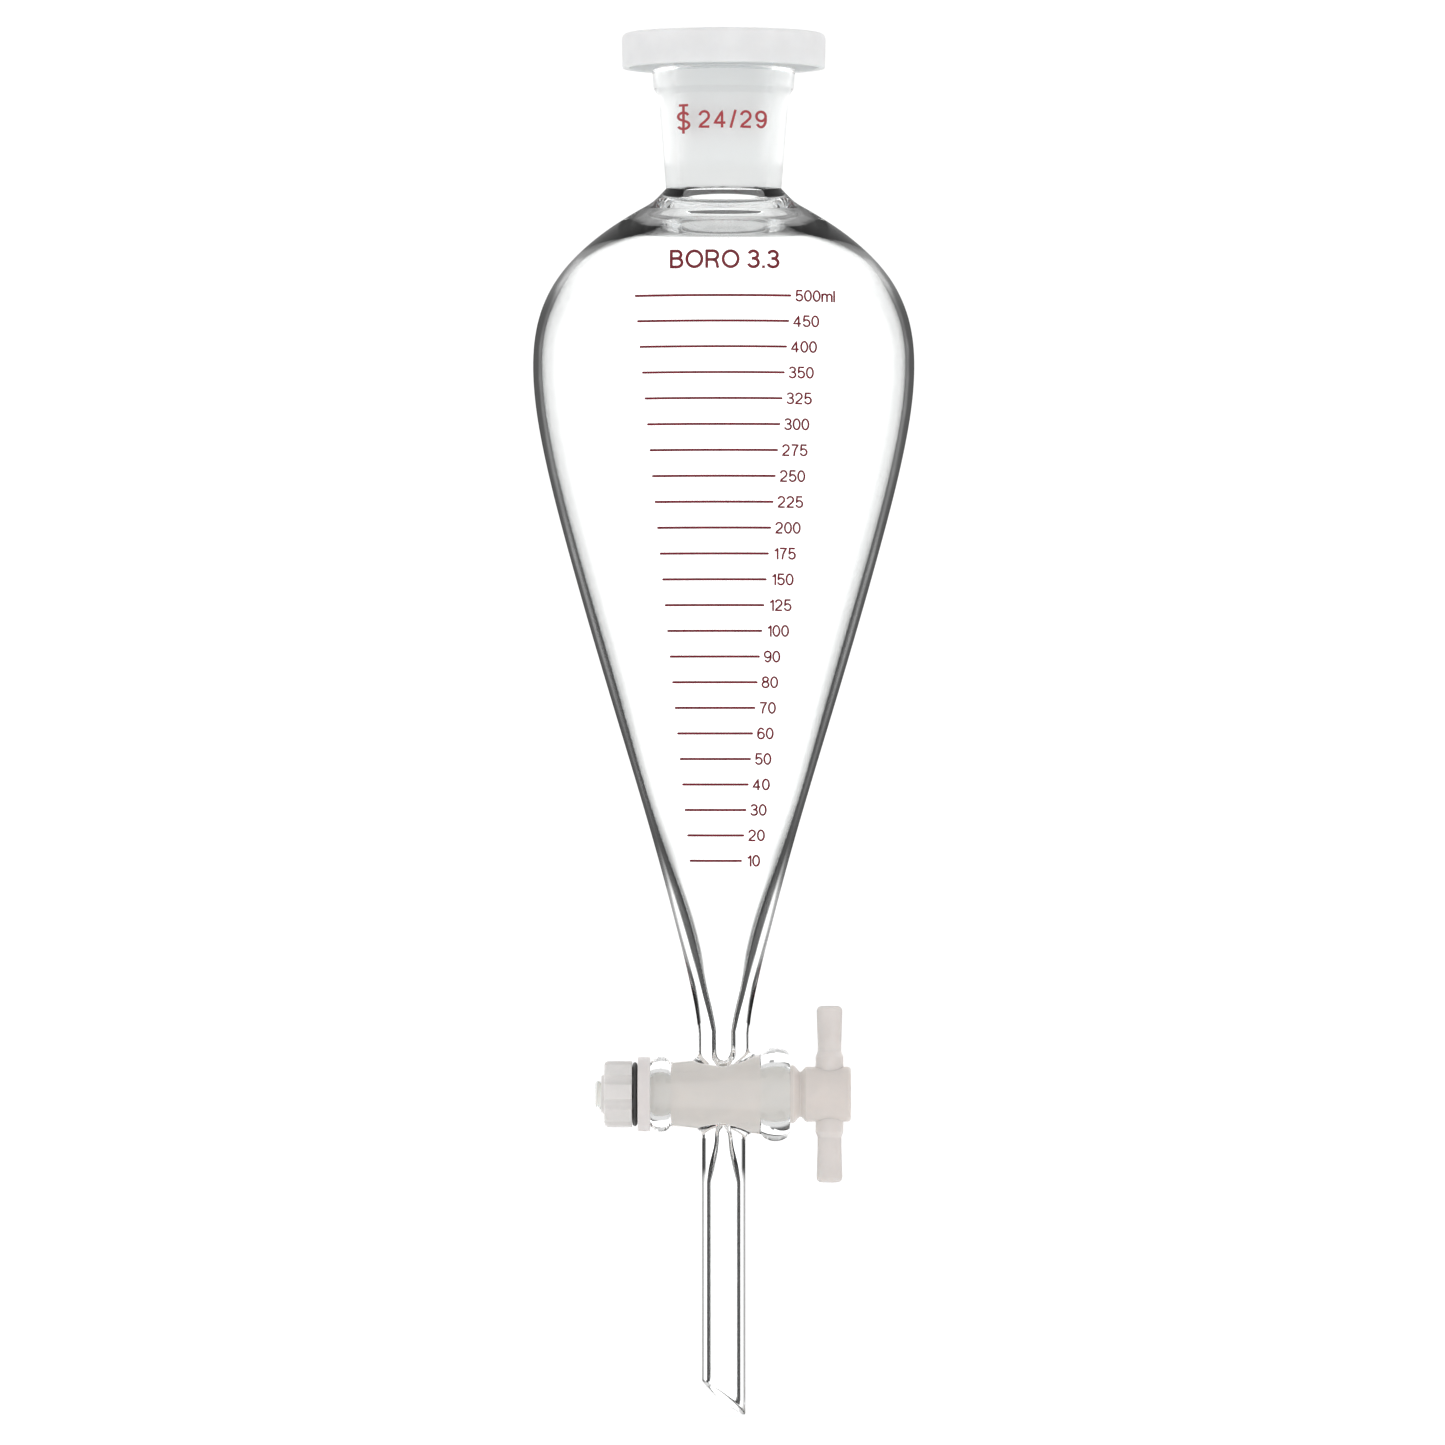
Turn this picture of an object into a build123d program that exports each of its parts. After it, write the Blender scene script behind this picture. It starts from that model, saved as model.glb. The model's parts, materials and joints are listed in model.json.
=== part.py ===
from build123d import *
from math import asin, atan2, cos, degrees, hypot, radians, sin, tan
import os

# Separatory funnel, 500 ml, pear-shaped, with a 24/29 ground socket, a hollow plastic
# stopper and a PTFE stopcock. Units are millimetres and degrees.
# +Z is up along the funnel's axis, and z = 0 is level with the lowest point of the outlet tip.
# +X runs along the stopcock towards its handle. The printed scale faces -Y.

# ---- Socket and stopper ----
RIM_Z = 327.3             # top of the glass rim
SOCKET_TOP_R = 12.0       # size 24: inner diameter at the large end
SOCKET_LENGTH = 29.0      # size 29: length of the ground zone
CONE_SLOPE = 0.05         # radius lost per millimetre, which is a taper of 1 in 10
COLLAR_R = 17.4           # reinforced rim round the mouth
COLLAR_FOOT_R = 17.0
COLLAR_HEIGHT = 4.9
COLLAR_CHAMFER = 1.7
NECK_TOP_R = 15.8
NECK_FOOT_R = 14.0
THROAT_R = 10.7           # thick clear glass below the ground zone, where the socket joins the bulb
THROAT_FOOT_Z = 292.3
THROAT_ROUND = 1.0
STOPPER_HEAD_R = 24.8
STOPPER_HEAD_HEIGHT = 8.5
STOPPER_TOP_ROUND = 2.2
STOPPER_SKIRT = 1.8       # wall of the head's skirt
STOPPER_ROOF = 2.4        # thickness of the head's top
STOPPER_WALL = 1.5        # wall of the hollow plug
STOPPER_REACH = 23.0      # how far the plug goes down the socket
STOPPER_GAP = 0.03        # radial clearance, so that the cones don't share a face
STOPPER_SEAT_GAP = 0.1    # between the head and the rim

# ---- Bulb: outer radius, height and wall at each station, from the neck to the stopcock ----
BULB = [
    (14.0, 298.3, 3.45),
    (20.0, 293.3, 2.6),
    (31.3, 285.8, 2.1),
    (40.6, 276.0, 2.1),
    (45.2, 265.5, 2.1),
    (46.3, 254.0, 2.1),
    (44.0, 235.5, 2.1),
    (38.5, 212.9, 2.1),
    (27.3, 174.0, 2.1),
    (15.8, 135.1, 2.2),
    (10.7, 115.7, 3.6),
    (7.3, 101.0, 3.5),
    (6.0, 90.0, 4.1),
]

# ---- Stopcock, measured along X from the funnel's axis ----
STOPCOCK_Z = 78.2
BARREL_LEFT_X = -17.85
BARREL_RIGHT_X = 16.1
BARREL_LEFT_R = 7.9       # outside, next to the left bead
BARREL_RIGHT_R = 9.8      # outside, next to the right bead
LEFT_BEAD = 5.1           # length along the barrel
RIGHT_BEAD = 7.1
LEFT_BEAD_R = 9.2
RIGHT_BEAD_R = 11.4
LEFT_BEAD_CREST = 0.42    # where the bead is thickest, as a share of its length from the left
RIGHT_BEAD_CREST = 0.55
END_FACE_R_DROP = 1.6     # how far the bead rounds off towards the end face
JUNCTION_FILLET = 1.6     # fused glass where the tubes meet the barrel
PORT_R = 1.5              # hole through the barrel's wall
PORT_FUNNEL = 3.0         # height over which the bulb's channel narrows to the port
PLUG_R = 6.2              # plug radius where the bore crosses it
PLUG_GAP = 0.05           # running clearance in the barrel
PLUG_BORE_R = 1.25
PLUG_SMALL_END_X = -17.2
PLUG_COLLAR_X = 17.0
PLUG_NECK_X = 18.4
PLUG_NECK_R = 5.5
HUB_R = 6.7
HUB_LEFT_X = 18.8
HUB_RIGHT_X = 30.9
HUB_CHAMFER = 1.2
HUB_ROUND = 0.8
BAR_X = 25.7
BAR_HALF_LENGTH = 21.4
BAR_SEAT_R = 3.4          # the thick middle that is pressed through the hub
BAR_SEAT_HALF = 9.7
BAR_WAIST_R = 2.85
BAR_TIP_R = 3.15
BAR_TIP_ROUND = 1.3
BAR_SEAT_SLOPE = 1.2      # length over which the seat narrows to the waist

# ---- Tension stack on the plug's threaded end ----
THREAD_R = 3.75
THREAD_ROOT_R = 3.05
THREAD_PITCH = 1.5
THREAD_BASE = 1.05        # width of the ridge at its root
THREAD_CREST = 0.35
THREAD_BITE = 0.15        # how far the ridge is sunk into the core
THREAD_LEAD_IN = 0.6      # chamfer at the free end
THREAD_GAP = 0.1
THREAD_END_X = -31.2
THREAD_FLAT = 3.15        # distance from the axis to the flat that keys the washer
WASHER_GAP = 0.15         # round the thread and the flat
WASHER_R = 9.0
WASHER_THICKNESS = 3.0
RING_THICKNESS = 1.3      # the O-ring as squeezed between washer and nut
RING_OUTER_R = 7.8
RING_INNER_R = 5.75
NUT_LENGTH = 6.8
NUT_R = 8.05
NUT_ROUND = 1.1
NUT_BOSS_R = 4.9
NUT_BOSS = 0.7
NUT_SPIGOT_R = 5.6        # centres the O-ring
NUT_SPIGOT = 0.9
NUT_FLUTES = 8
NUT_FLUTE_R = 1.7
NUT_FLUTE_DEPTH = 0.75
NUT_FLUTE_START = 29.0
FACE_GAP = 0.03           # between parts that touch end to end

# ---- Outlet stem ----
STEM_R = 5.25
STEM_FLARE_R = 5.9        # the stem widens to this as it meets the barrel
STEM_STRAIGHT_Z = 62.0    # straight below here
STEM_BORE_R = 3.4
STEM_BORE_TOP_Z = 57.0    # the bore narrows from here up to the stopcock's port
STEM_PORT_Z = 69.5        # and is as narrow as the port from here up
TIP_SLOPE = 40.0          # bevel, from horizontal
TIP_TURN = 20.0           # how far the bevel's open side is turned from -X towards -Y

# ---- Printed enamel ----
ENAMEL = 0.06             # stands this far off the glass
ENAMEL_BITE = 0.05        # fused this far into it
TOP_MARK_Z = 270.5
MARK_PITCH = 6.155
MARK_THICKNESS = 0.5
MARK_LEFT_X = (-21.2, -8.2)    # at the top mark and at the bottom one
MARK_RIGHT_X = (16.1, 4.4)
NUMERAL_GAP = 0.95        # from the end of a line to its numeral
NUMERAL_HEIGHT = 2.8
MARKS = [500, 450, 400, 350, 325, 300, 275, 250, 225, 200, 175, 150, 125,
         100, 90, 80, 70, 60, 50, 40, 30, 20, 10]
SIZE_MARK_Z = 314.3
SIZE_MARK_LEFT_X = -5.7
SIZE_MARK_HEIGHT = 4.2
TAPER_SIGN_X = -9.6
TAPER_SIGN_DROP = 0.5     # its S stands this much lower than the numbers beside it
GRADE_MARK_Z = 279.4
GRADE_MARK_LEFT_X = -12.5
GRADE_MARK_HEIGHT = 4.6
LETTER_GAP = 0.1          # between characters, as a share of their height
WORD_GAP = 0.33
STROKE = 0.45             # width of the numerals' strokes
LABEL_STROKE = 0.62
GRID_ROWS = 6             # height of a capital on the character grid
GRID_STRETCH = 1.35       # width of a grid square, as a multiple of its height

# Characters as strokes through points on a grid, 6 high and mostly 3 wide
GLYPHS = {
    "0": [[(0, 1), (0, 5), (1, 6), (2, 6), (3, 5), (3, 1), (2, 0), (1, 0), (0, 1)]],
    "1": [[(0, 5), (1, 6), (1, 0)]],
    "2": [[(0, 5), (1, 6), (2, 6), (3, 5), (3, 4), (0, 0), (3, 0)]],
    "3": [[(0, 5), (1, 6), (2, 6), (3, 5), (3, 4), (2, 3), (1, 3)],
          [(2, 3), (3, 2), (3, 1), (2, 0), (1, 0), (0, 1)]],
    "4": [[(2, 0), (2, 6), (0, 2), (3, 2)]],
    "5": [[(3, 6), (0, 6), (0, 3), (1, 4), (2, 4), (3, 3), (3, 1), (2, 0), (1, 0), (0, 1)]],
    "6": [[(3, 6), (1, 5), (0, 3), (0, 1), (1, 0), (2, 0), (3, 1), (3, 2), (2, 3), (1, 3), (0, 2)]],
    "7": [[(0, 6), (3, 6), (1, 0)]],
    "8": [[(1, 3), (0, 4), (0, 5), (1, 6), (2, 6), (3, 5), (3, 4), (2, 3), (1, 3)],
          [(2, 3), (3, 2), (3, 1), (2, 0), (1, 0), (0, 1), (0, 2), (1, 3)]],
    "9": [[(0, 0), (2, 1), (3, 3), (3, 5), (2, 6), (1, 6), (0, 5), (0, 4), (1, 3), (2, 3), (3, 4)]],
    "m": [[(0, 0), (0, 4)], [(0, 3), (1, 4), (2, 3), (2, 0)], [(2, 3), (3, 4), (4, 3), (4, 0)]],
    "l": [[(0, 0), (0, 6)]],
    "/": [[(0, 0), (2, 6)]],
    ".": [[(0, 0), (0, 0.1)]],
    "B": [[(0, 0), (0, 6), (2, 6), (3, 5), (3, 4), (2, 3), (0, 3)], [(2, 3), (3, 2), (3, 1), (2, 0), (0, 0)]],
    "O": [[(0, 1), (0, 5), (1, 6), (3, 6), (4, 5), (4, 1), (3, 0), (1, 0), (0, 1)]],
    "R": [[(0, 0), (0, 6), (2, 6), (3, 5), (3, 4), (2, 3), (0, 3)], [(2, 3), (3, 0)]],
    "taper": [[(3, 5), (2, 6), (1, 6), (0, 5), (0, 4), (3, 2), (3, 1), (2, 0), (1, 0), (0, 1)],
              [(1.5, -1), (1.5, 8.3)], [(0.6, 8.3), (2.4, 8.3)]],
}

# ---- Worked out from the sizes above ----
SOCKET_FOOT_Z = RIM_Z - SOCKET_LENGTH
STOPCOCK_AXIS = Axis((0, 0, STOPCOCK_Z), (1, 0, 0))
WASHER_LEFT_X = BARREL_LEFT_X - FACE_GAP - WASHER_THICKNESS
NUT_FACE_X = WASHER_LEFT_X - RING_THICKNESS - 2 * FACE_GAP
NUT_LEFT_X = NUT_FACE_X - NUT_LENGTH


def xz(r, z):
    return Vector(r, 0, z)


def path(*points):
    """Straight edges through points given as (x, z)."""
    return Polyline(*[xz(*p) for p in points])


def turned_on_stopcock(*points):
    """Solid turned round the stopcock's axis, from points given as (x, radius)."""
    outline = [(x, STOPCOCK_Z + r) for x, r in points]
    first, last = outline[0], outline[-1]
    outline = [(first[0], STOPCOCK_Z), *outline, (last[0], STOPCOCK_Z)]
    return revolve(make_face(path(*outline, outline[0])), STOPCOCK_AXIS)


def plug_radius(x):
    return PLUG_R + CONE_SLOPE * x


# ---------------------------------------------------------------- glass
def bulb_normals():
    """Unit normal at each station, pointing out of the glass, from its neighbours."""
    normals = []
    last = len(BULB) - 1
    for i in range(len(BULB)):
        above, below = BULB[max(i - 1, 0)], BULB[min(i + 1, last)]
        dr, dz = below[0] - above[0], below[1] - above[1]
        if i in (0, last):
            dr, dz = 0.0, -1.0
        length = hypot(dr, dz)
        normals.append((-dz / length, dr / length))
    return normals


def bulb_outside():
    """The bulb's outer surface as a smooth curve in the XZ plane, from the neck down."""
    points = [xz(r, z) for r, z, wall in BULB]
    return Spline(*points, tangents=[(0, 0, -1), (0, 0, -1)], tangent_scalars=[0.6, 1.0])


def bulb_inside():
    """The bulb's inner surface as a smooth curve in the XZ plane, from below the throat down."""
    walls = list(zip(BULB, bulb_normals()))[1:]
    points = [xz(r - nr * wall, z - nz * wall) for (r, z, wall), (nr, nz) in walls]
    first_normal = walls[0][1]
    first_tangent = (first_normal[1], 0, -first_normal[0])
    return Spline(*points, tangents=[first_tangent, (0, 0, -1)], tangent_scalars=[1.0, 1.0])


def upper_outer():
    """Everything the outside of the glass encloses, from the rim down into the barrel."""
    curve = bulb_outside()
    top, bottom = curve @ 0, curve @ 1
    collar_foot_z = RIM_Z - COLLAR_HEIGHT
    above = path(
        (0, STOPCOCK_Z), (0, RIM_Z), (COLLAR_R, RIM_Z), (COLLAR_FOOT_R, collar_foot_z),
        (NECK_TOP_R, collar_foot_z - COLLAR_CHAMFER), (top.X, top.Z),
    )
    below = path((bottom.X, bottom.Z), (bottom.X, STOPCOCK_Z), (0, STOPCOCK_Z))
    return revolve(make_face(above + curve + below), Axis.Z)


def upper_cavity():
    """The socket's cone, the throat, the inside of the bulb and the channel down to the plug."""
    curve = bulb_inside()
    top, bottom = curve @ 0, curve @ 1
    mouth = path(
        (0, STOPCOCK_Z), (0, RIM_Z + 1),
        (SOCKET_TOP_R + CONE_SLOPE, RIM_Z + 1),
        (SOCKET_TOP_R - CONE_SLOPE * SOCKET_LENGTH, SOCKET_FOOT_Z),
        (THROAT_R, THROAT_FOOT_Z + THROAT_ROUND), (THROAT_R + THROAT_ROUND, THROAT_FOOT_Z),
        (top.X, top.Z),
    )
    channel = path(
        (bottom.X, bottom.Z), (PORT_R, bottom.Z - PORT_FUNNEL), (PORT_R, STOPCOCK_Z), (0, STOPCOCK_Z)
    )
    return revolve(make_face(mouth + curve + channel), Axis.Z)


def barrel():
    """The stopcock's shell, with a fire-polished bead at each end."""
    left_inner_x = BARREL_LEFT_X + LEFT_BEAD
    right_inner_x = BARREL_RIGHT_X - RIGHT_BEAD

    def at(x, r):
        return xz(x, STOPCOCK_Z + r)

    left_bead = ThreePointArc(
        at(BARREL_LEFT_X, LEFT_BEAD_R - END_FACE_R_DROP),
        at(BARREL_LEFT_X + LEFT_BEAD * LEFT_BEAD_CREST, LEFT_BEAD_R),
        at(left_inner_x, BARREL_LEFT_R),
    )
    right_bead = ThreePointArc(
        at(right_inner_x, BARREL_RIGHT_R),
        at(right_inner_x + RIGHT_BEAD * RIGHT_BEAD_CREST, RIGHT_BEAD_R),
        at(BARREL_RIGHT_X, RIGHT_BEAD_R - END_FACE_R_DROP),
    )
    close = Polyline(right_bead @ 1, at(BARREL_RIGHT_X, 0), at(BARREL_LEFT_X, 0), left_bead @ 0)
    outline = left_bead + Line(left_bead @ 1, right_bead @ 0) + right_bead + close
    return revolve(make_face(outline), STOPCOCK_AXIS)


def barrel_bore():
    ends = [BARREL_LEFT_X - 1, BARREL_RIGHT_X + 1]
    return turned_on_stopcock(*[(x, plug_radius(x) + PLUG_GAP) for x in ends])


def stem():
    flare_z = STOPCOCK_Z - BARREL_RIGHT_R - JUNCTION_FILLET
    return revolve(make_face(path(
        (0, 0), (STEM_R, 0), (STEM_R, STEM_STRAIGHT_Z),
        (STEM_FLARE_R, flare_z), (STEM_FLARE_R, STOPCOCK_Z), (0, STOPCOCK_Z), (0, 0),
    )), Axis.Z)


def stem_bore():
    return revolve(make_face(path(
        (0, -1), (STEM_BORE_R, -1), (STEM_BORE_R, STEM_BORE_TOP_Z),
        (PORT_R, STEM_PORT_Z), (PORT_R, STOPCOCK_Z), (0, STOPCOCK_Z), (0, -1),
    )), Axis.Z)


def tip_cutter():
    """A block whose top face is the bevel plane through the lowest point of the tip."""
    block = Pos(0, 0, -20) * Box(80, 80, 40)
    drop = STEM_R * tan(radians(TIP_SLOPE))
    return Pos(0, 0, drop) * Rot(0, 0, TIP_TURN) * Rot(0, TIP_SLOPE, 0) * block


def glass_body():
    solid = upper_outer() + barrel() + stem()
    joins = [
        e for e in solid.edges()
        if abs(e.center(CenterOf.BOUNDING_BOX).X) < 1
        and abs(e.center(CenterOf.BOUNDING_BOX).Y) < 1
        and STOPCOCK_Z - 10 < e.center(CenterOf.BOUNDING_BOX).Z < STOPCOCK_Z + 10
        and e.bounding_box().size.Y > STEM_R
    ]
    solid = fillet(joins, JUNCTION_FILLET)
    return solid - upper_cavity() - barrel_bore() - stem_bore() - tip_cutter()


# ---------------------------------------------------------------- stopper
def stopper():
    """Hollow plug under a round skirted head, moulded in one piece and open at its foot."""
    head_foot_z = RIM_Z + STOPPER_SEAT_GAP
    top_z = head_foot_z + STOPPER_HEAD_HEIGHT
    foot_z = RIM_Z - STOPPER_REACH
    roof_z = top_z - STOPPER_ROOF

    def cone_r(z):
        return SOCKET_TOP_R - CONE_SLOPE * (RIM_Z - z) - STOPPER_GAP

    edge_r = STOPPER_HEAD_R
    diagonal = STOPPER_TOP_ROUND * (1 - sin(radians(45)))
    rounding = ThreePointArc(
        xz(edge_r - STOPPER_TOP_ROUND, top_z),
        xz(edge_r - diagonal, top_z - diagonal),
        xz(edge_r, top_z - STOPPER_TOP_ROUND),
    )
    rest = path(
        (edge_r, top_z - STOPPER_TOP_ROUND), (edge_r, head_foot_z),
        (edge_r - STOPPER_SKIRT, head_foot_z), (edge_r - STOPPER_SKIRT, roof_z),
        (cone_r(roof_z), roof_z), (cone_r(foot_z), foot_z),
        (cone_r(foot_z) - STOPPER_WALL, foot_z), (cone_r(roof_z) - STOPPER_WALL, roof_z),
        (0, roof_z), (0, top_z), (edge_r - STOPPER_TOP_ROUND, top_z),
    )
    return revolve(make_face(rounding + rest), Axis.Z)


# ---------------------------------------------------------------- stopcock
def screw_ridge(root_r, crest_r, base, crest, start_x, end_x):
    """A right-hand trapezoidal ridge wound along -X from start_x, in phase for the plug and the nut."""
    length = abs(end_x - start_x)
    spiral = Helix(THREAD_PITCH, length, root_r)
    outline = Polyline(
        (-THREAD_BITE, -base / 2), (crest_r - root_r, -crest / 2),
        (crest_r - root_r, crest / 2), (-THREAD_BITE, base / 2), close=True,
    )
    profile = Plane(spiral @ 0, x_dir=(1, 0, 0), z_dir=spiral % 0) * make_face(outline)
    ridge = sweep(profile, path=spiral, is_frenet=True)
    return Pos(start_x, 0, STOPCOCK_Z) * Rot(0, -90, 0) * ridge


def plug():
    """PTFE key: tapered middle, threaded left end and a hub for the handle bar."""
    body = turned_on_stopcock(
        (PLUG_SMALL_END_X, plug_radius(PLUG_SMALL_END_X)),
        (PLUG_COLLAR_X, plug_radius(PLUG_COLLAR_X)),
        (PLUG_NECK_X, PLUG_NECK_R),
        (HUB_LEFT_X, PLUG_NECK_R),
        (HUB_LEFT_X + HUB_CHAMFER, HUB_R),
        (HUB_RIGHT_X - HUB_ROUND, HUB_R),
        (HUB_RIGHT_X, HUB_R - HUB_ROUND),
    )
    core = turned_on_stopcock((THREAD_END_X, THREAD_ROOT_R), (PLUG_SMALL_END_X + 1, THREAD_ROOT_R))
    ridge = screw_ridge(
        THREAD_ROOT_R, THREAD_R, THREAD_BASE, THREAD_CREST, PLUG_SMALL_END_X, THREAD_END_X
    )
    clear_r = 1.1 * THREAD_R
    envelope = turned_on_stopcock(
        (THREAD_END_X, clear_r - THREAD_LEAD_IN), (THREAD_END_X + THREAD_LEAD_IN, clear_r),
        (PLUG_SMALL_END_X, clear_r),
    )
    flat = Pos((THREAD_END_X + PLUG_SMALL_END_X) / 2, 0, STOPCOCK_Z + THREAD_FLAT + 2) * Box(
        PLUG_SMALL_END_X - THREAD_END_X, 12, 4
    )
    screw = core + (ridge & envelope) - flat
    bore = Pos(0, 0, STOPCOCK_Z) * Cylinder(PLUG_BORE_R, 4 * PLUG_R)
    cross_hole = Pos(BAR_X, 0, STOPCOCK_Z) * Cylinder(BAR_SEAT_R, 4 * HUB_R)
    return body + screw - bore - cross_hole


def handle_bar():
    """Turned rod, thick in the middle where it is pressed through the hub."""
    half = path(
        (0, 0), (0, BAR_HALF_LENGTH), (BAR_TIP_R - BAR_TIP_ROUND, BAR_HALF_LENGTH),
        (BAR_TIP_R, BAR_HALF_LENGTH - BAR_TIP_ROUND), (BAR_WAIST_R, BAR_SEAT_HALF + BAR_SEAT_SLOPE),
        (BAR_SEAT_R, BAR_SEAT_HALF), (BAR_SEAT_R, 0), (0, 0),
    )
    arm = revolve(make_face(half), Axis.Z)
    return Pos(BAR_X, 0, STOPCOCK_Z) * (arm + mirror(arm, Plane.XY))


def washer():
    disc = turned_on_stopcock((WASHER_LEFT_X, WASHER_R), (WASHER_LEFT_X + WASHER_THICKNESS, WASHER_R))
    hole_r = THREAD_R + WASHER_GAP
    hole = turned_on_stopcock((WASHER_LEFT_X - 1, hole_r), (BARREL_LEFT_X + 1, hole_r))
    key_z = STOPCOCK_Z + THREAD_FLAT + WASHER_GAP
    key = Pos(WASHER_LEFT_X, 0, key_z + WASHER_R / 2) * Box(WASHER_R, 2 * WASHER_R, WASHER_R)
    return disc - (hole - key)


def o_ring():
    centre_x = WASHER_LEFT_X - FACE_GAP - RING_THICKNESS / 2
    centre_r = (RING_OUTER_R + RING_INNER_R) / 2
    section = Ellipse(RING_THICKNESS / 2, (RING_OUTER_R - RING_INNER_R) / 2)
    return revolve(Pos(centre_x, 0, STOPCOCK_Z + centre_r) * (Plane.XZ * section), STOPCOCK_AXIS)


def tension_nut():
    """Fluted nut with a conical boss, a spigot inside the O-ring and a thread that fits the plug's."""
    boss_x = NUT_LEFT_X - NUT_BOSS
    body = turned_on_stopcock(
        (boss_x, NUT_BOSS_R - NUT_BOSS), (NUT_LEFT_X, NUT_BOSS_R),
        (NUT_LEFT_X, NUT_R - NUT_ROUND), (NUT_LEFT_X + NUT_ROUND, NUT_R),
        (NUT_FACE_X, NUT_R), (NUT_FACE_X, NUT_SPIGOT_R), (NUT_FACE_X + NUT_SPIGOT, NUT_SPIGOT_R),
    )
    middle_x = (NUT_LEFT_X + NUT_FACE_X) / 2
    reach = NUT_R - NUT_FLUTE_DEPTH + NUT_FLUTE_R
    for i in range(NUT_FLUTES):
        a = radians(NUT_FLUTE_START + i * 360 / NUT_FLUTES)
        flute = Rot(0, 90, 0) * Cylinder(NUT_FLUTE_R, NUT_LENGTH + 4)
        body -= Pos(middle_x, reach * cos(a), STOPCOCK_Z + reach * sin(a)) * flute
    hole = turned_on_stopcock(
        (boss_x - 1, THREAD_ROOT_R + THREAD_GAP),
        (NUT_FACE_X + NUT_SPIGOT + 1, THREAD_ROOT_R + THREAD_GAP),
    )
    groove = screw_ridge(
        THREAD_ROOT_R, THREAD_R + THREAD_GAP, THREAD_BASE + 2 * THREAD_GAP,
        THREAD_CREST + 2 * THREAD_GAP, PLUG_SMALL_END_X, boss_x - THREAD_PITCH,
    )
    return body - groove - hole


# ---------------------------------------------------------------- printed enamel
def glass_surface(z):
    """Outer radius of the neck or bulb at height z, and the slope: radius gained per millimetre down."""
    neck_top_z = RIM_Z - COLLAR_HEIGHT - COLLAR_CHAMFER
    curve = bulb_outside()
    foot = curve @ 0
    if z > foot.Z:
        slope = (foot.X - NECK_TOP_R) / (neck_top_z - foot.Z)
        return foot.X + slope * (foot.Z - z), slope
    low, high = 0.0, 1.0
    for _ in range(30):
        middle = (low + high) / 2
        if (curve @ middle).Z > z:
            low = middle
        else:
            high = middle
    tangent = curve % low
    return (curve @ low).X, -tangent.X / tangent.Z


def on_glass(x, z):
    """Plane touching the front of the glass at x and z, facing out, with its own X to the right."""
    r, slope = glass_surface(z)
    turn = asin(x / r)
    outward = Vector(sin(turn), -cos(turn), slope)
    return Plane(Vector(r * sin(turn), -r * cos(turn), z), x_dir=(cos(turn), sin(turn), 0), z_dir=outward)


def line_on_glass(left_x, right_x, z):
    """A bar that follows the glass round from left_x to right_x."""
    r, slope = glass_surface(z)
    left_turn, right_turn = degrees(asin(left_x / r)), degrees(asin(right_x / r))
    tilt = degrees(atan2(slope, 1))
    section = Pos(r + (ENAMEL - ENAMEL_BITE) / 2, 0, z) * Rot(0, -tilt, 0) * (
        Plane.XZ * Rectangle(ENAMEL + ENAMEL_BITE, MARK_THICKNESS)
    )
    return Rot(0, 0, left_turn - 90) * revolve(section, Axis.Z, right_turn - left_turn)


def glyph(character, height, stroke):
    """A character as round-ended strokes of constant width, with y = 0 at mid height."""
    unit = (height - stroke) / GRID_ROWS
    across = unit * GRID_STRETCH
    bars = []
    for points in GLYPHS[character]:
        for (x0, y0), (x1, y1) in zip(points, points[1:]):
            width, rise = (x1 - x0) * across, (y1 - y0) * unit
            bar = SlotCenterToCenter(hypot(width, rise), stroke)
            turn = degrees(atan2(rise, width))
            middle = Pos((x0 + x1) / 2 * across, (y0 + y1 - GRID_ROWS) / 2 * unit)
            bars.append(middle * Rot(0, 0, turn) * bar)
    return Sketch() + bars


def glyph_plate(outline, x, z):
    """The outline as a thin plate on the glass, its middle over x and the grid's middle at z."""
    middle_x = outline.bounding_box().center().X
    plate = extrude(Pos(-middle_x, 0) * outline, ENAMEL + ENAMEL_BITE)
    return on_glass(x, z) * Pos(0, 0, -ENAMEL_BITE) * plate


def lettering(text, left_x, z, height, stroke):
    """Characters set on the glass one after another from left_x."""
    plates = []
    for character in text:
        if character == " ":
            left_x += WORD_GAP * height
            continue
        outline = glyph(character, height, stroke)
        width = outline.bounding_box().size.X
        plates.append(glyph_plate(outline, left_x + width / 2, z))
        left_x += width + LETTER_GAP * height
    return plates


def mark_z(i):
    return TOP_MARK_Z - i * MARK_PITCH


def mark_end(ends, i):
    return ends[0] + (ends[1] - ends[0]) * i / (len(MARKS) - 1)


def scale_lines():
    lines = [
        line_on_glass(mark_end(MARK_LEFT_X, i), mark_end(MARK_RIGHT_X, i), mark_z(i))
        for i in range(len(MARKS))
    ]
    return Compound(lines)


def scale_numerals():
    plates = []
    for i, mark in enumerate(MARKS):
        left_x = mark_end(MARK_RIGHT_X, i) + NUMERAL_GAP
        text = f"{mark}ml" if i == 0 else str(mark)
        plates += lettering(text, left_x, mark_z(i), NUMERAL_HEIGHT, STROKE)
    return Compound(plates)


def joint_size_mark():
    """The sign for a standard taper, a T through an S, and the joint's size."""
    sign = glyph("taper", SIZE_MARK_HEIGHT, LABEL_STROKE)
    sign_plate = glyph_plate(sign, TAPER_SIGN_X, SIZE_MARK_Z - TAPER_SIGN_DROP)
    plates = lettering("24/29", SIZE_MARK_LEFT_X, SIZE_MARK_Z, SIZE_MARK_HEIGHT, LABEL_STROKE)
    return Compound([sign_plate, *plates])


def glass_grade_mark():
    return Compound(lettering("BORO 3.3", GRADE_MARK_LEFT_X, GRADE_MARK_Z, GRADE_MARK_HEIGHT, LABEL_STROKE))


def save(name, shape):
    export_step(shape, f"parts/{name}.step")
    print(name, [round(s.volume, 1) for s in shape.solids()], shape.is_valid)


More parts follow.
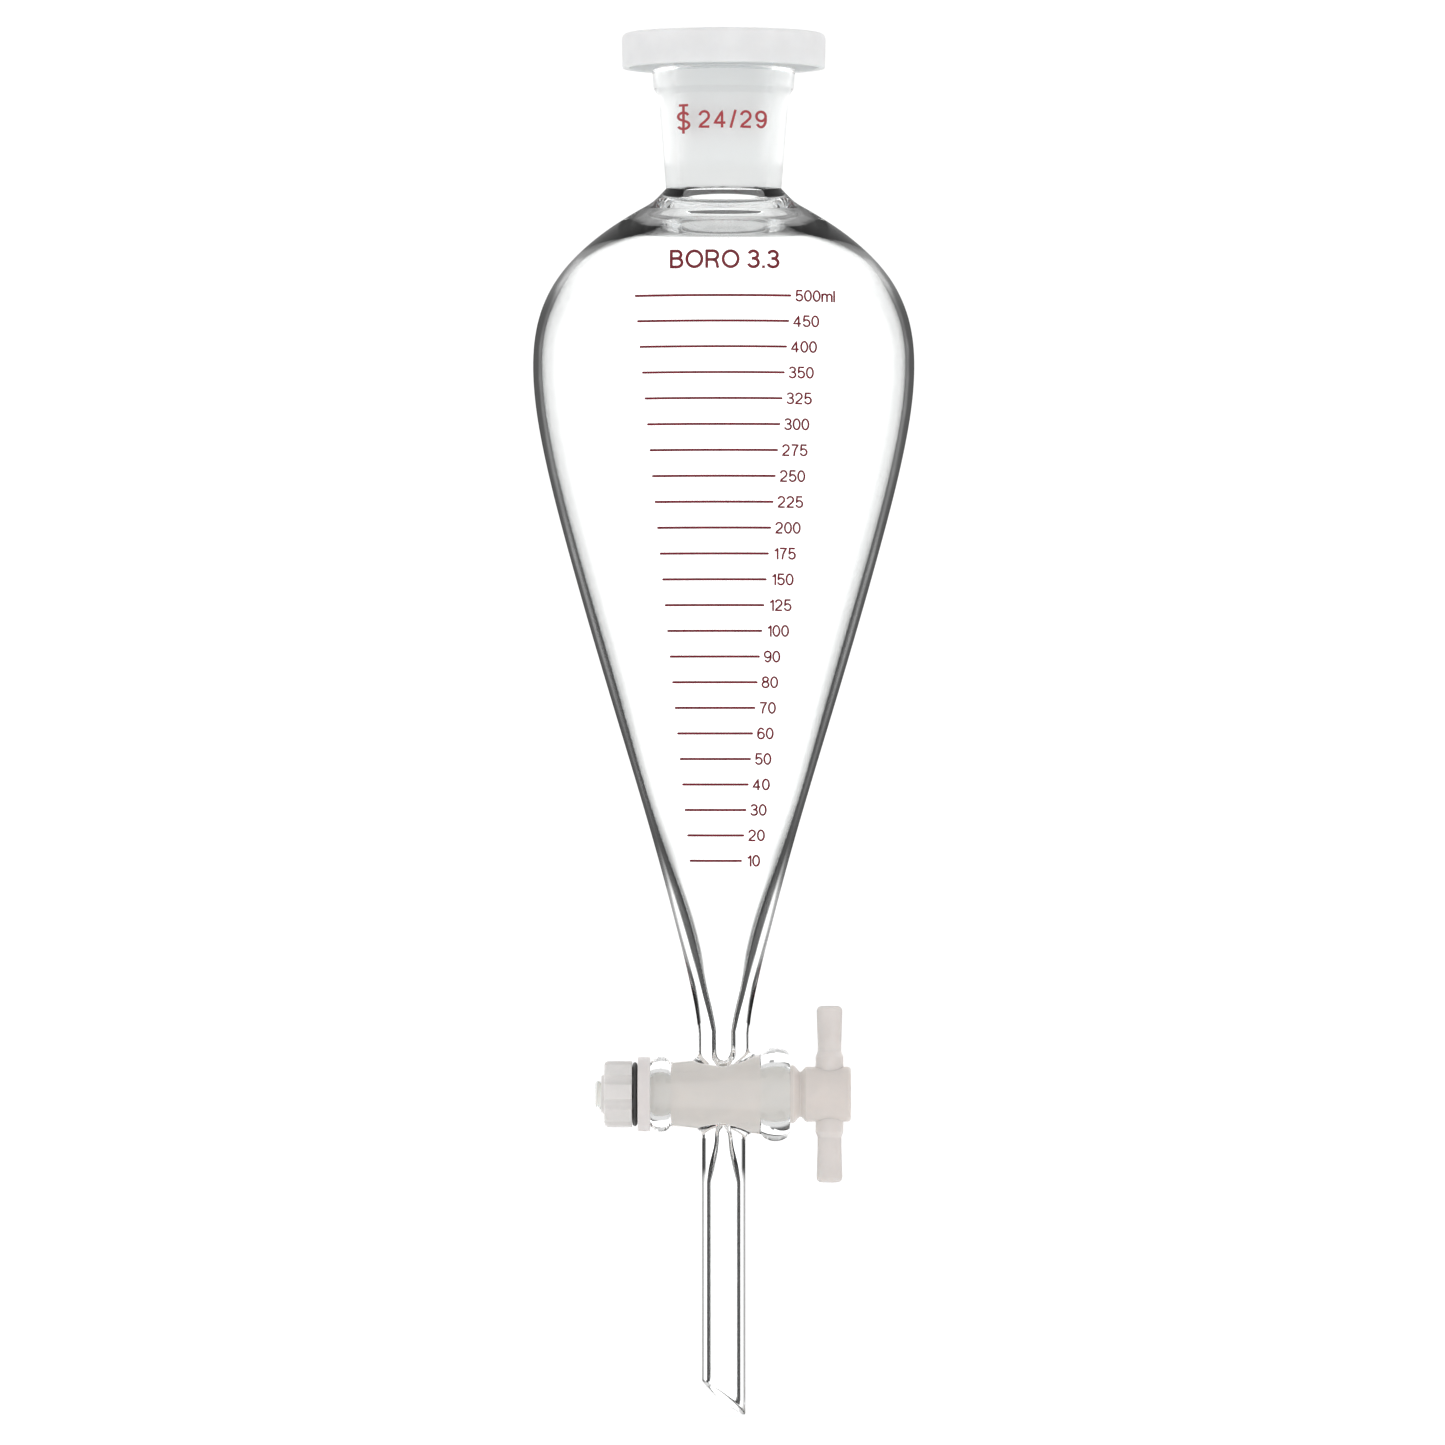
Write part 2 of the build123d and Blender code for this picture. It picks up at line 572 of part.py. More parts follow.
if __name__ == "__main__":
    os.makedirs("parts", exist_ok=True)
    save("glass_body", glass_body())
    save("stopper", stopper())
    save("stopcock_plug", plug())
    save("handle_bar", handle_bar())
    save("washer", washer())
    save("o_ring", o_ring())
    save("tension_nut", tension_nut())
    save("scale_lines", scale_lines())
    save("scale_numerals", scale_numerals())
    save("joint_size_mark", joint_size_mark())
    save("glass_grade_mark", glass_grade_mark())
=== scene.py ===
import json
from collections import namedtuple
from math import acos, asin, atan2, ceil, cos, dist, hypot, pi, radians, sin, sqrt, tan

import bmesh
import bpy
import numpy as np
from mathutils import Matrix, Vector
from numpy.linalg import norm

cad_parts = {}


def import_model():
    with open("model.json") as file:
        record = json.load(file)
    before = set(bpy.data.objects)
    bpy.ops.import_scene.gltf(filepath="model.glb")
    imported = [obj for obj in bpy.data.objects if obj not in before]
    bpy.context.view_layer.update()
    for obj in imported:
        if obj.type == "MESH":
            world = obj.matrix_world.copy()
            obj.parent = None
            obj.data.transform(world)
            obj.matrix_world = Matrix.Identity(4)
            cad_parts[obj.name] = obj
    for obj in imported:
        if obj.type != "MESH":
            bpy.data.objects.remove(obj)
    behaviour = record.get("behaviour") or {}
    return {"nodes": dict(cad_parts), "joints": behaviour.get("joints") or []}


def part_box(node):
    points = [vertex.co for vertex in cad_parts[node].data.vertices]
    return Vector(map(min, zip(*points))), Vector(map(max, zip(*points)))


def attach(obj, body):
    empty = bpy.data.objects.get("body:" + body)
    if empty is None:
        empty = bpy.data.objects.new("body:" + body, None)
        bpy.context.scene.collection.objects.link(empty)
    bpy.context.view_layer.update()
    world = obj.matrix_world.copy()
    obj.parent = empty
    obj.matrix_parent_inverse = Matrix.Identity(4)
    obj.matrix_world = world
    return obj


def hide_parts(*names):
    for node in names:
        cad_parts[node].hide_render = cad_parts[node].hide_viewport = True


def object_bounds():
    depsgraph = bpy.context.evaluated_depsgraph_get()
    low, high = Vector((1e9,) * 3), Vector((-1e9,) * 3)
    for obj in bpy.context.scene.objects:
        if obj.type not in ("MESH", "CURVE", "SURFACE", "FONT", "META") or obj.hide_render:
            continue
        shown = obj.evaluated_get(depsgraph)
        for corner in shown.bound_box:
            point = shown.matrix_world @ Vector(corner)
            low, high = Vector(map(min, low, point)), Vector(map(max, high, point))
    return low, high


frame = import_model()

cad_low, cad_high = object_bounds()

MM = 0.001
GLASS = frame["nodes"]["glass_body"].data
JOINTS = {joint["name"]: joint for joint in frame["joints"]}
STOPCOCK_Z = JOINTS["key_turn"]["pos_m"][2]
RIM_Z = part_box("glass_body")[1].z
X, Z = 0, 2


def span(node, axis):
    """The middle and half the length of a node's box along an axis."""
    low, high = (corner[axis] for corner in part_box(node))
    return (low + high) / 2, (high - low) / 2


# ---- mesh helpers
STRAIGHT = radians(12)  # a corner that turns less than this isn't rounded


def turns(count):
    """Angles all the way round."""
    return [2 * pi * i / count for i in range(count)]


def circle(radius, z, count, x=0.0):
    return [(x + radius * cos(t), radius * sin(t), z) for t in turns(count)]


class Skin:
    """Collects rings of points and joins them with quads."""

    def __init__(self):
        self.points = []
        self.faces = []

    def ring(self, points):
        first = len(self.points)
        self.points.extend([tuple(p) for p in points])
        return list(range(first, len(self.points)))

    def bridge(self, a, b):
        for i in range(len(a)):
            self.quad(a, b, i)

    def quad(self, a, b, i):
        j = (i + 1) % len(a)
        self.faces.append((a[i], a[j], b[j], b[i]))

    def chain(self, rings):
        for a, b in zip(rings, rings[1:]):
            self.bridge(a, b)

    def fan(self, ring, tip):
        centre = self.ring([tip])[0]
        for i, point in enumerate(ring):
            self.faces.append((point, ring[(i + 1) % len(ring)], centre))

    def build(self, name, smooth_deg=40.0):
        mesh = bpy.data.meshes.new(name)
        mesh.from_pydata(self.points, [], self.faces)
        piece = bpy.data.objects.new(name, mesh)
        bpy.context.scene.collection.objects.link(piece)
        clean(mesh)
        shade(piece, smooth_deg)
        return piece


def clean(mesh):
    """Welds doubled points and turns every face outwards."""
    bm = bmesh.new()
    bm.from_mesh(mesh)
    bmesh.ops.remove_doubles(bm, verts=bm.verts, dist=2e-7)
    bmesh.ops.recalc_face_normals(bm, faces=bm.faces)
    bm.to_mesh(mesh)
    bm.free()


def shade(piece, smooth_deg):
    """Smooth shading, with edges sharper than smooth_deg kept crisp."""
    mesh = piece.data
    mesh.polygons.foreach_set("use_smooth", [True] * len(mesh.polygons))
    bm = bmesh.new()
    bm.from_mesh(mesh)
    limit = radians(smooth_deg)
    for edge in bm.edges:
        edge.smooth = len(edge.link_faces) == 2 and edge.calc_face_angle(0) < limit
    bm.to_mesh(mesh)
    bm.free()


def rounded(points, radius, steps=5):
    """An open outline with its inner corners turned into arcs. radius is one number, or a function
    of the corner's number."""
    out = [points[0]]
    for i in range(1, len(points) - 1):
        before, corner, after = (np.array(points[k], float) for k in (i - 1, i, i + 1))
        d_in, d_out = corner - before, after - corner
        len_in, len_out = norm(d_in), norm(d_out)
        d_in, d_out = d_in / len_in, d_out / len_out
        turn = acos(max(-1.0, min(1.0, float(d_in @ d_out))))
        r = radius(i) if callable(radius) else radius
        if turn < STRAIGHT or r <= 0:
            out.append(tuple(corner))
            continue
        reach = min(r * tan(turn / 2), 0.45 * len_in, 0.45 * len_out)
        a, b = corner - d_in * reach, corner + d_out * reach
        for k in range(steps + 1):
            t = k / steps
            out.append(tuple((1 - t) ** 2 * a + 2 * t * (1 - t) * corner + t ** 2 * b))
    out.append(points[-1])
    return out


def spaced(points, step):
    """The outline with points added so that no stretch is longer than step."""
    out = [points[0]]
    for a, b in zip(points, points[1:]):
        a, b = np.array(a), np.array(b)
        pieces = max(1, ceil(dist(a, b) / step))
        out += [tuple(a + (b - a) * k / pieces) for k in range(1, pieces + 1)]
    return out


def smooth_curve(points, step):
    """A Catmull-Rom curve through the points, sampled about every step."""
    p = np.array(points, float)
    p = np.vstack([2 * p[0] - p[1], p, 2 * p[-1] - p[-2]])
    out = []
    for k in range(1, len(p) - 2):
        pieces = max(1, round(dist(p[k], p[k + 1]) / step))
        d0, d1, d2 = (dist(p[k + i - 1], p[k + i]) for i in range(3))
        m1 = ((p[k] - p[k - 1]) / d0 * d1 + (p[k + 1] - p[k]) / d1 * d0) / (d0 + d1) * d1
        m2 = ((p[k + 1] - p[k]) / d1 * d2 + (p[k + 2] - p[k + 1]) / d2 * d1) / (d1 + d2) * d1
        for i in range(pieces):
            t = i / pieces
            out.append(
                (2 * t**3 - 3 * t**2 + 1) * p[k] + (t**3 - 2 * t**2 + t) * m1
                + (3 * t**2 - 2 * t**3) * p[k + 1] + (t**3 - t**2) * m2
            )
    out.append(p[-2])
    return [tuple(q) for q in out]


# ---- the glass, read from the frame
def surface_points(keep, place):
    """place(corner) for each corner of the faces that keep(middle, normal) picks out."""
    faces = [face for face in GLASS.polygons if keep(face.center, face.normal)]
    return sorted({place(GLASS.vertices[i].co) for face in faces for i in face.vertices})


def turned_points(above_z, side):
    """(height, radius) of the glass's round surfaces above above_z, from the top down. side 1 is
    the outside and -1 is the inside."""
    def keep(middle, normal):
        facing = (middle.x * normal.x + middle.y * normal.y) / hypot(middle.x, middle.y)
        return middle.z >= above_z and facing * side >= 0.05

    return surface_points(keep, lambda p: (round(p.z, 7), round(hypot(p.x, p.y), 7)))[::-1]


def thin_out(points, gap):
    """Keeps points that are at least gap apart."""
    kept = [points[0]]
    for point in points[1:]:
        if dist(point, kept[-1]) >= gap:
            kept.append(point)
    return kept


GROUND_LENGTH = 29 * MM  # a size 24/29 socket is ground over 29 mm
NECK_FOOT_Z = RIM_Z - GROUND_LENGTH
THROAT_FOOT_Z = NECK_FOOT_Z - 6.0 * MM  # thick glass where the socket is joined to the bulb
TUBE_TOP_Z = STOPCOCK_Z + 13.5 * MM  # from here down to the barrel the tube is straight
TAPER = 0.05  # socket and stopcock both taper 1 in 10 in diameter
BORE_R = 6.25 * MM  # the barrel's bore, in its middle
PORT_R = 1.5 * MM  # the holes from the tubes into the barrel


def bulb_points(side):
    """The bulb's points below the neck. Inside, those of the narrow throat are left out."""
    below_neck = NECK_FOOT_Z - 0.1 * MM
    points = [p for p in turned_points(TUBE_TOP_Z, side) if p[0] < below_neck]
    has_throat = side < 0 and points[0][1] < 13 * MM
    below_throat = NECK_FOOT_Z - 20 * MM
    return [p for p in points if not has_throat or p[1] > 18 * MM or p[0] < below_throat]


def bulb_profile(side):
    """(height, radius) along the bulb, smooth, from the neck's foot or the throat to the tube."""
    return smooth_curve(thin_out(bulb_points(side), 4.5 * MM), 1.6 * MM)


OUTSIDE = bulb_profile(1)
INSIDE = bulb_profile(-1)
NECK = [p for p in turned_points(NECK_FOOT_Z - 1 * MM, 1) if p[0] > NECK_FOOT_Z - 0.05 * MM]


HEIGHTS, RADII = zip(*(thin_out(NECK, 0.2 * MM) + OUTSIDE)[::-1])


def outer_radius(z):
    """Outer radius of the neck or the bulb at height z."""
    return float(np.interp(z, HEIGHTS, RADII))


SIDE = 30  # quads along each side of a tube's square base
ROUND = [radians(-135 + 90 * i / SIDE) for i in range(4 * SIDE)]


def level_ring(radius, z):
    return [(radius * cos(a), radius * sin(a), z) for a in ROUND]


def upright(along, radius, turn):
    """A point turned round the funnel's axis."""
    return (radius * cos(turn), radius * sin(turn), along)


def sideways(along, radius, turn):
    """A point turned round the stopcock's axis."""
    return (along, -radius * sin(turn), STOPCOCK_Z + radius * cos(turn))


class Barrel:
    """A surface turned round the stopcock's axis, with a tube leaving it at the top and another at
    the bottom. radius_at(x) gives its radius. half_x is half the square base along the axis and
    half_turn is half its width, as an angle round the axis."""

    def __init__(self, skin, radius_at, half_x, half_turn):
        self.skin, self.radius_at, self.half_x = skin, radius_at, half_x
        top = [-half_turn + 2 * half_turn * i / SIDE for i in range(SIDE)]
        side = [half_turn + (pi - 2 * half_turn) * i / SIDE for i in range(SIDE)]
        self.turns = top + side + [t + pi for t in top] + [t + pi for t in side]

    def ring(self, x):
        return self.skin.ring([sideways(x, self.radius_at(x), t) for t in self.turns])

    def middle(self, first_ring, last_ring):
        """The stretch that holds the square bases. Returns the loops round the two bases."""
        xs = [-self.half_x + 2 * self.half_x * i / SIDE for i in range(SIDE + 1)]
        rings = [first_ring] + [self.ring(x) for x in xs[1:-1]] + [last_ring]
        count = len(self.turns)
        for a, b in zip(rings, rings[1:]):
            for i in range(count):
                if i % (2 * SIDE) >= SIDE:
                    self.skin.quad(a, b, i)

        def base(first, flip):
            """Indices round a base, anticlockwise from above, from its corner at -X and -Y."""
            def at(row):
                return (first + (row if flip else SIDE - row)) % count

            loop = [rings[i][at(0)] for i in range(SIDE)]
            loop += [rings[SIDE][at(i)] for i in range(SIDE)]
            loop += [rings[SIDE - i][at(SIDE)] for i in range(SIDE)]
            loop += [rings[0][at(SIDE - i)] for i in range(SIDE)]
            return loop

        return base(0, False), base(2 * SIDE, True)

    def mouth(self, base_loop, up, tube_r, fillet, steps=7):
        """Rings from a square base to a round tube, with a fillet. up is 1 or -1. Returns the last
        ring."""
        start = tube_r + fillet
        loops = [base_loop]
        square = [Vector(self.skin.points[i]) for i in base_loop]
        for t in (0.34, 0.67, 1.0):
            points = []
            for a, corner in zip(ROUND, square):
                x1, y1 = start * cos(a), start * sin(a)
                turn1 = asin(-y1 / self.radius_at(x1))
                turn0 = atan2(-corner.y, up * (corner.z - STOPCOCK_Z))
                x, turn = corner.x + (x1 - corner.x) * t, turn0 + (turn1 - turn0) * t
                r = self.radius_at(x)
                points.append((x, -r * sin(turn), STOPCOCK_Z + up * r * cos(turn)))
            loops.append(self.skin.ring(points))
        for k in range(1, steps + 1):
            bend = radians(90 * k / steps)
            reach, lift = tube_r + fillet * (1 - sin(bend)), fillet * (1 - cos(bend))
            points = []
            for a in ROUND:
                x, y = reach * cos(a), reach * sin(a)
                height = sqrt(self.radius_at(x) ** 2 - y * y) + lift
                points.append((x, y, STOPCOCK_Z + up * height))
            loops.append(self.skin.ring(points))
        self.skin.chain(loops)
        return loops[-1]


def barrel_points():
    """(x, radius) along the barrel's outside, where it is clear of the tubes."""
    def keep(middle, normal):
        away = Vector((0, middle.y, middle.z - STOPCOCK_Z))
        beside_tubes = abs(away.z) <= 3.5 * MM and away.length <= 14 * MM
        return beside_tubes and away.dot(normal) >= 0.3 * away.length

    def place(p):
        return round(p.x, 6), round(hypot(p.y, p.z - STOPCOCK_Z), 6)

    return surface_points(keep, place)


def bevel_plane():
    """A point on the bevelled tip and the direction that it faces."""
    total, middle, area = Vector(), Vector(), 0.0
    for face in GLASS.polygons:
        if face.center.z < 10 * MM and face.normal.z < -0.3:
            total += face.normal * face.area
            middle += face.center * face.area
            area += face.area
    return middle / area, total.normalized()


STEM_RADII = [hypot(v.co.x, v.co.y) for v in GLASS.vertices if v.co.z < 9 * MM]
STEM_R, STEM_BORE_R = max(STEM_RADII), min(STEM_RADII)


def bore_radius(x):
    return BORE_R + TAPER * x


def glass_barrel(skin):
    """The stopcock's barrel. Returns its outside and its bore, each with the loops of its upper and
    lower square bases."""
    xs, radii = zip(*barrel_points())

    def outside_radius(x):
        return float(np.interp(x, xs, radii))

    outer = Barrel(skin, outside_radius, 8.3 * MM, radians(66))
    bore = Barrel(skin, bore_radius, 2.6 * MM, radians(26))

    def end(sign, end_x):
        """Rings from the outside's middle, over one end, to the bore's middle. Returns the first
        and the last. The spacing round the rings changes from the one's to the other's."""
        profile = [(x, outside_radius(x)) for x in np.linspace(sign * outer.half_x, end_x, 22)]
        inner_x = sign * bore.half_x
        inward = [(end_x, bore_radius(end_x)), (inner_x, bore_radius(inner_x))]
        edge = len(profile) - 1
        outline = rounded(profile + inward, lambda i: (0.7 if i == edge else 0.35) * MM)[:-1]
        rings = []
        for k, (x, r) in enumerate(outline):
            share = min(1.0, max(0.0, (k - edge + 1) / 8))
            spacing = [a + (b - a) * share for a, b in zip(outer.turns, bore.turns)]
            rings.append(skin.ring([sideways(x, r, t) for t in spacing]))
        rings += [bore.ring(x) for x in np.linspace(outline[-1][0], inner_x, 10)[1:]]
        skin.chain(rings)
        return rings[0], rings[-1]

    left_out, left_in = end(-1, xs[0])
    right_out, right_in = end(1, xs[-1])
    return (outer, *outer.middle(left_out, right_out)), (bore, *bore.middle(left_in, right_in))


def glass_bulb(skin, first, last):
    """From the barrel up the tube, bulb and neck, over the rim, and down inside to the port."""
    rim = thin_out(NECK, 0.2 * MM)
    mouth_r = min(r for z, r in turned_points(RIM_Z - 40 * MM, -1) if z > RIM_Z - 0.1 * MM)
    foot_r = mouth_r - TAPER * GROUND_LENGTH
    corners = [
        OUTSIDE[0], *rim[::-1], (RIM_Z, mouth_r), (NECK_FOOT_Z, foot_r),
        (THROAT_FOOT_Z, foot_r + 0.25 * MM), (THROAT_FOOT_Z - 0.25 * MM, foot_r + 2.6 * MM),
        INSIDE[0], INSIDE[1],
    ]
    count = len(corners)
    radii = {1: 0.0, 2: 1.2, 3: 0.9, 4: 1.3, 5: 0.5, count - 4: 1.3, count - 3: 1.2}
    over = spaced(rounded(corners, lambda i: radii.get(i, 0.4) * MM, 8)[:-1], 2.2 * MM)
    port = [
        INSIDE[-1], (TUBE_TOP_Z - 3 * MM, INSIDE[-1][1]),
        (TUBE_TOP_Z - 5.5 * MM, PORT_R + 0.5 * MM), (TUBE_TOP_Z - 7 * MM, PORT_R),
    ]
    path = OUTSIDE[::-1] + over[1:] + INSIDE[1:] + smooth_curve(port, 0.8 * MM)[1:]
    skin.chain([first] + [skin.ring(level_ring(r, z)) for z, r in path] + [last])


def glass_stem(skin, first, last):
    """From the barrel down the stem, over its bevelled tip, and back up inside to the port."""
    on_plane, facing = bevel_plane()
    top_z = STOPCOCK_Z - 12.5 * MM

    def ring(radius, share, lift=0.0):
        """share 0 lies on the bevel and 1 lies level at the top of the straight stem."""
        points = []
        for x, y, _ in level_ring(radius, 0.0):
            slope = (facing.x * (x - on_plane.x) + facing.y * (y - on_plane.y)) / facing.z
            z = on_plane.z - slope + lift
            points.append((x, y, z + (top_z - z) * share))
        return skin.ring(points)

    soft = 0.45 * MM  # radius of the fire-polished edges
    quarter = [radians(18 * k) for k in range(6)]
    bend = [(soft * (1 - cos(a)), soft * (1 - sin(a))) for a in quarter]
    rings = [first] + [ring(STEM_R, s) for s in np.linspace(1, 0.03, 26)]
    rings += [ring(STEM_R - inward, 0, lift) for inward, lift in bend]
    rings.append(ring((STEM_R + STEM_BORE_R) / 2, 0))
    rings += [ring(STEM_BORE_R + outward, 0, lift) for lift, outward in bend]
    rings += [ring(STEM_BORE_R, s) for s in np.linspace(0.03, 0.8, 20)]
    port = [
        (57 * MM, STEM_BORE_R), (61.5 * MM, 2.6 * MM), (66 * MM, 1.7 * MM), (69.5 * MM, PORT_R),
    ]
    rings += [skin.ring(level_ring(r, z)) for z, r in smooth_curve(port, 0.9 * MM)]
    skin.chain(rings + [last])


def glass_body():
    skin = Skin()
    (outer, top_base, bottom_base), (bore, top_port, bottom_port) = glass_barrel(skin)
    top = outer.mouth(top_base, 1, OUTSIDE[-1][1], 2.0 * MM)
    glass_bulb(skin, top, bore.mouth(top_port, 1, PORT_R, 0.15 * MM, 3))
    bottom = outer.mouth(bottom_base, -1, STEM_R, 1.8 * MM)
    glass_stem(skin, bottom, bore.mouth(bottom_port, -1, PORT_R, 0.15 * MM, 3))
    return skin.build("separatory_glass", 50)


# ---- printed enamel
ENAMEL = 0.06 * MM  # the print's height above the glass
BITE = 0.03 * MM  # how far it is sunk into the glass
MARKS = [500, 450, 400, 350, 325, 300, 275, 250, 225, 200, 175, 150, 125,
         100, 90, 80, 70, 60, 50, 40, 30, 20, 10]


def on_glass(x, z, lift):
    """The point of the front of the glass at x and z, moved out along its normal by lift."""
    dz = 0.4 * MM
    r = outer_radius(z)
    slope = (outer_radius(z + dz) - outer_radius(z - dz)) / (2 * dz)
    out, up = 1 / hypot(1, slope), -slope / hypot(1, slope)
    turn = asin(max(-1.0, min(1.0, x / r)))
    r += lift * out
    return (r * sin(turn), -r * cos(turn), z + lift * up)


def arc(x, y, rx, ry, start, end):
    """Points along an ellipse between two angles in degrees, clockwise if end is below start."""
    count = max(4, round(abs(end - start) / 9))
    angles = [radians(start + (end - start) * i / count) for i in range(count + 1)]
    return [(x + rx * cos(t), y + ry * sin(t)) for t in angles]


# Centre lines of the characters, in a box 1 high. A plain grotesque with even strokes.
S_CURVE = arc(0.35, 0.735, 0.275, 0.205, 18, 235) + arc(0.37, 0.27, 0.30, 0.21, 62, -162)
GLYPHS = {
    "0": [arc(0.33, 0.5, 0.27, 0.44, 90, 450)],
    "1": [[(0.40, 0), (0.40, 0.94)], [(0.14, 0.73), (0.27, 0.78), (0.36, 0.87), (0.40, 0.97)]],
    "2": [arc(0.33, 0.68, 0.26, 0.26, 172, -32)
          + [(0.36, 0.35), (0.14, 0.18), (0.07, 0.06), (0.62, 0.06)]],
    "3": [arc(0.31, 0.735, 0.235, 0.205, 165, -90) + [(0.22, 0.53)],
          arc(0.31, 0.295, 0.27, 0.235, 90, -165)],
    "4": [[(0.47, 0), (0.47, 0.93), (0.05, 0.28), (0.66, 0.28)]],
    "5": [[(0.59, 0.94), (0.15, 0.94), (0.09, 0.47)] + arc(0.33, 0.335, 0.27, 0.275, 138, -165)],
    "6": [arc(0.34, 0.50, 0.27, 0.44, 38, 200), arc(0.335, 0.325, 0.265, 0.265, 90, 450)],
    "7": [[(0.05, 0.94), (0.60, 0.94), (0.42, 0.66), (0.31, 0.38), (0.26, 0)]],
    "8": [arc(0.33, 0.745, 0.225, 0.195, -90, 270), arc(0.33, 0.295, 0.27, 0.24, 90, 450)],
    "9": [arc(0.32, 0.50, 0.27, 0.44, 218, 380), arc(0.325, 0.675, 0.265, 0.265, 90, 450)],
    "m": [[(0.06, 0), (0.06, 0.73)], arc(0.27, 0.48, 0.20, 0.20, 175, 0) + [(0.47, 0)],
          arc(0.68, 0.48, 0.20, 0.20, 175, 0) + [(0.88, 0)]],
    "l": [[(0.06, 0), (0.06, 1)]],
    "/": [[(0.04, -0.02), (0.32, 1.02)]],
    ".": [[(0.07, 0), (0.07, 0.14)]],
    "B": [[(0.36, 0.94), (0.06, 0.94), (0.06, 0.06), (0.38, 0.06)]
          + arc(0.38, 0.295, 0.25, 0.235, -90, 90) + [(0.06, 0.53)],
          arc(0.36, 0.735, 0.22, 0.205, 90, -90)],
    "O": [arc(0.46, 0.5, 0.40, 0.44, 90, 450)],
    "R": [[(0.06, 0), (0.06, 0.94), (0.40, 0.94)] + arc(0.40, 0.70, 0.25, 0.24, 90, -90)
          + [(0.06, 0.46)],
          [(0.38, 0.46), (0.53, 0.40), (0.60, 0.27), (0.63, 0.08), (0.67, 0)]],
    "taper": [S_CURVE, [(0.36, -0.19), (0.36, 1.40)], [(0.11, 1.34), (0.61, 1.34)]],
}
WIDEST = 1.3  # reach of a stroke's corner, in halves of its width


def stroke_outline(points, half):
    """Quads along a line of constant width. Returns the points and the faces."""
    p = np.array(points, float)
    p = p[[0] + [i for i in range(1, len(p)) if dist(p[i], p[i - 1]) > 1e-6]]
    loop = dist(p[0], p[-1]) < 1e-6
    if loop:
        p = p[:-1]
    count = len(p)
    sides = []
    for i in range(count):
        before = p[i] - p[i - 1] if loop or i > 0 else p[1] - p[0]
        after = p[(i + 1) % count] - p[i] if loop or i < count - 1 else before
        before, after = before / norm(before), after / norm(after)
        across = np.array([-(before + after)[1], (before + after)[0]])
        across /= norm(across)
        grow = 1 / max(1 / WIDEST, abs(across @ np.array([-after[1], after[0]])))
        sides.append((p[i] + across * half * grow, p[i] - across * half * grow))
    flat = [tuple(point) for pair in sides for point in pair]
    last = count if loop else count - 1
    total = 2 * count
    faces = [(i, i + 1, (i + 3) % total, (i + 2) % total) for i in range(0, 2 * last, 2)]
    return flat, faces


class Print:
    """Enamel on the front of the glass, as thin closed plates in one mesh."""

    def __init__(self):
        self.skin = Skin()

    def plate(self, points, faces, x, z):
        """Flat faces bent on to the glass, their 0, 0 at x and z."""
        top = self.skin.ring([on_glass(x + u, z + v, ENAMEL) for u, v in points])
        low = self.skin.ring([on_glass(x + u, z + v, -BITE) for u, v in points])
        for face in faces:
            self.skin.faces.append(tuple(top[i] for i in face))
            self.skin.faces.append(tuple(low[i] for i in reversed(face)))
        edges = [pair for face in faces for pair in zip(face, face[1:] + face[:1])]
        rim = set(edges) - {(b, a) for a, b in edges}
        for a, b in sorted(rim):
            self.skin.faces.append((top[b], top[a], low[a], low[b]))

    def stroke(self, points, width, x, z):
        flat, faces = stroke_outline(spaced(points, 0.6 * MM), width / 2)
        self.plate(flat, faces, x, z)

    def text(self, text, height, x, z, width, gap=0.12):
        """Characters from x on, their middle at z."""
        for character in text:
            if character == " ":
                x += 0.30 * height
                continue
            glyph = GLYPHS[character]
            for line in glyph:
                self.stroke([(u * height, (v - 0.5) * height) for u, v in line], width, x, z)
            widest = max(u for line in glyph for u, v in line)
            x += widest * height + width / 2 + gap * height

    def line(self, left, right, z, thickness):
        """A bar with rounded ends."""
        half, steps = thickness / 2, 48
        across = np.linspace(left + half, right - half, steps)
        ends = [radians(90 - 15 * k) for k in range(1, 12)]
        outline = [(x, half) for x in across]
        outline += [(right - half + half * cos(a), half * sin(a)) for a in ends]
        outline += [(x, -half) for x in across[::-1]]
        outline += [(left + half - half * cos(a), -half * sin(a)) for a in ends]
        count = len(outline)
        top_row = list(range(steps))
        low_row = [2 * steps + len(ends) - 1 - k for k in range(steps)]
        faces = [(top_row[k], low_row[k], low_row[k + 1], top_row[k + 1]) for k in range(steps - 1)]
        faces.append(tuple(range(steps - 1, steps + len(ends) + 1)))
        faces.append(tuple(range(2 * steps + len(ends) - 1, count)) + (0,))
        self.plate(outline, faces, 0.0, z)

    def build(self, name):
        return self.skin.build(name, 35)


def scale_prints():
    """The lines, which get shorter down the cone, and their numerals."""
    low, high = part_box("scale_lines")
    thickness = 0.54 * MM
    last = len(MARKS) - 1
    pitch = (high.z - low.z - thickness) / last
    left_ends, right_ends = (low.x, 0.387 * low.x), (high.x, 0.273 * high.x)
    lines, numerals = Print(), Print()
    for i, mark in enumerate(MARKS):
        share = i / last
        left = left_ends[0] + (left_ends[1] - left_ends[0]) * share
        right = right_ends[0] + (right_ends[1] - right_ends[0]) * share
        z = high.z - thickness / 2 - i * pitch
        lines.line(left, right, z, thickness)
        label = f"{mark}ml" if i == 0 else str(mark)
        numerals.text(label, 2.8 * MM, right + 0.95 * MM, z, 0.43 * MM, 0.07)
    return lines.build("scale_line_print"), numerals.build("scale_numeral_print")


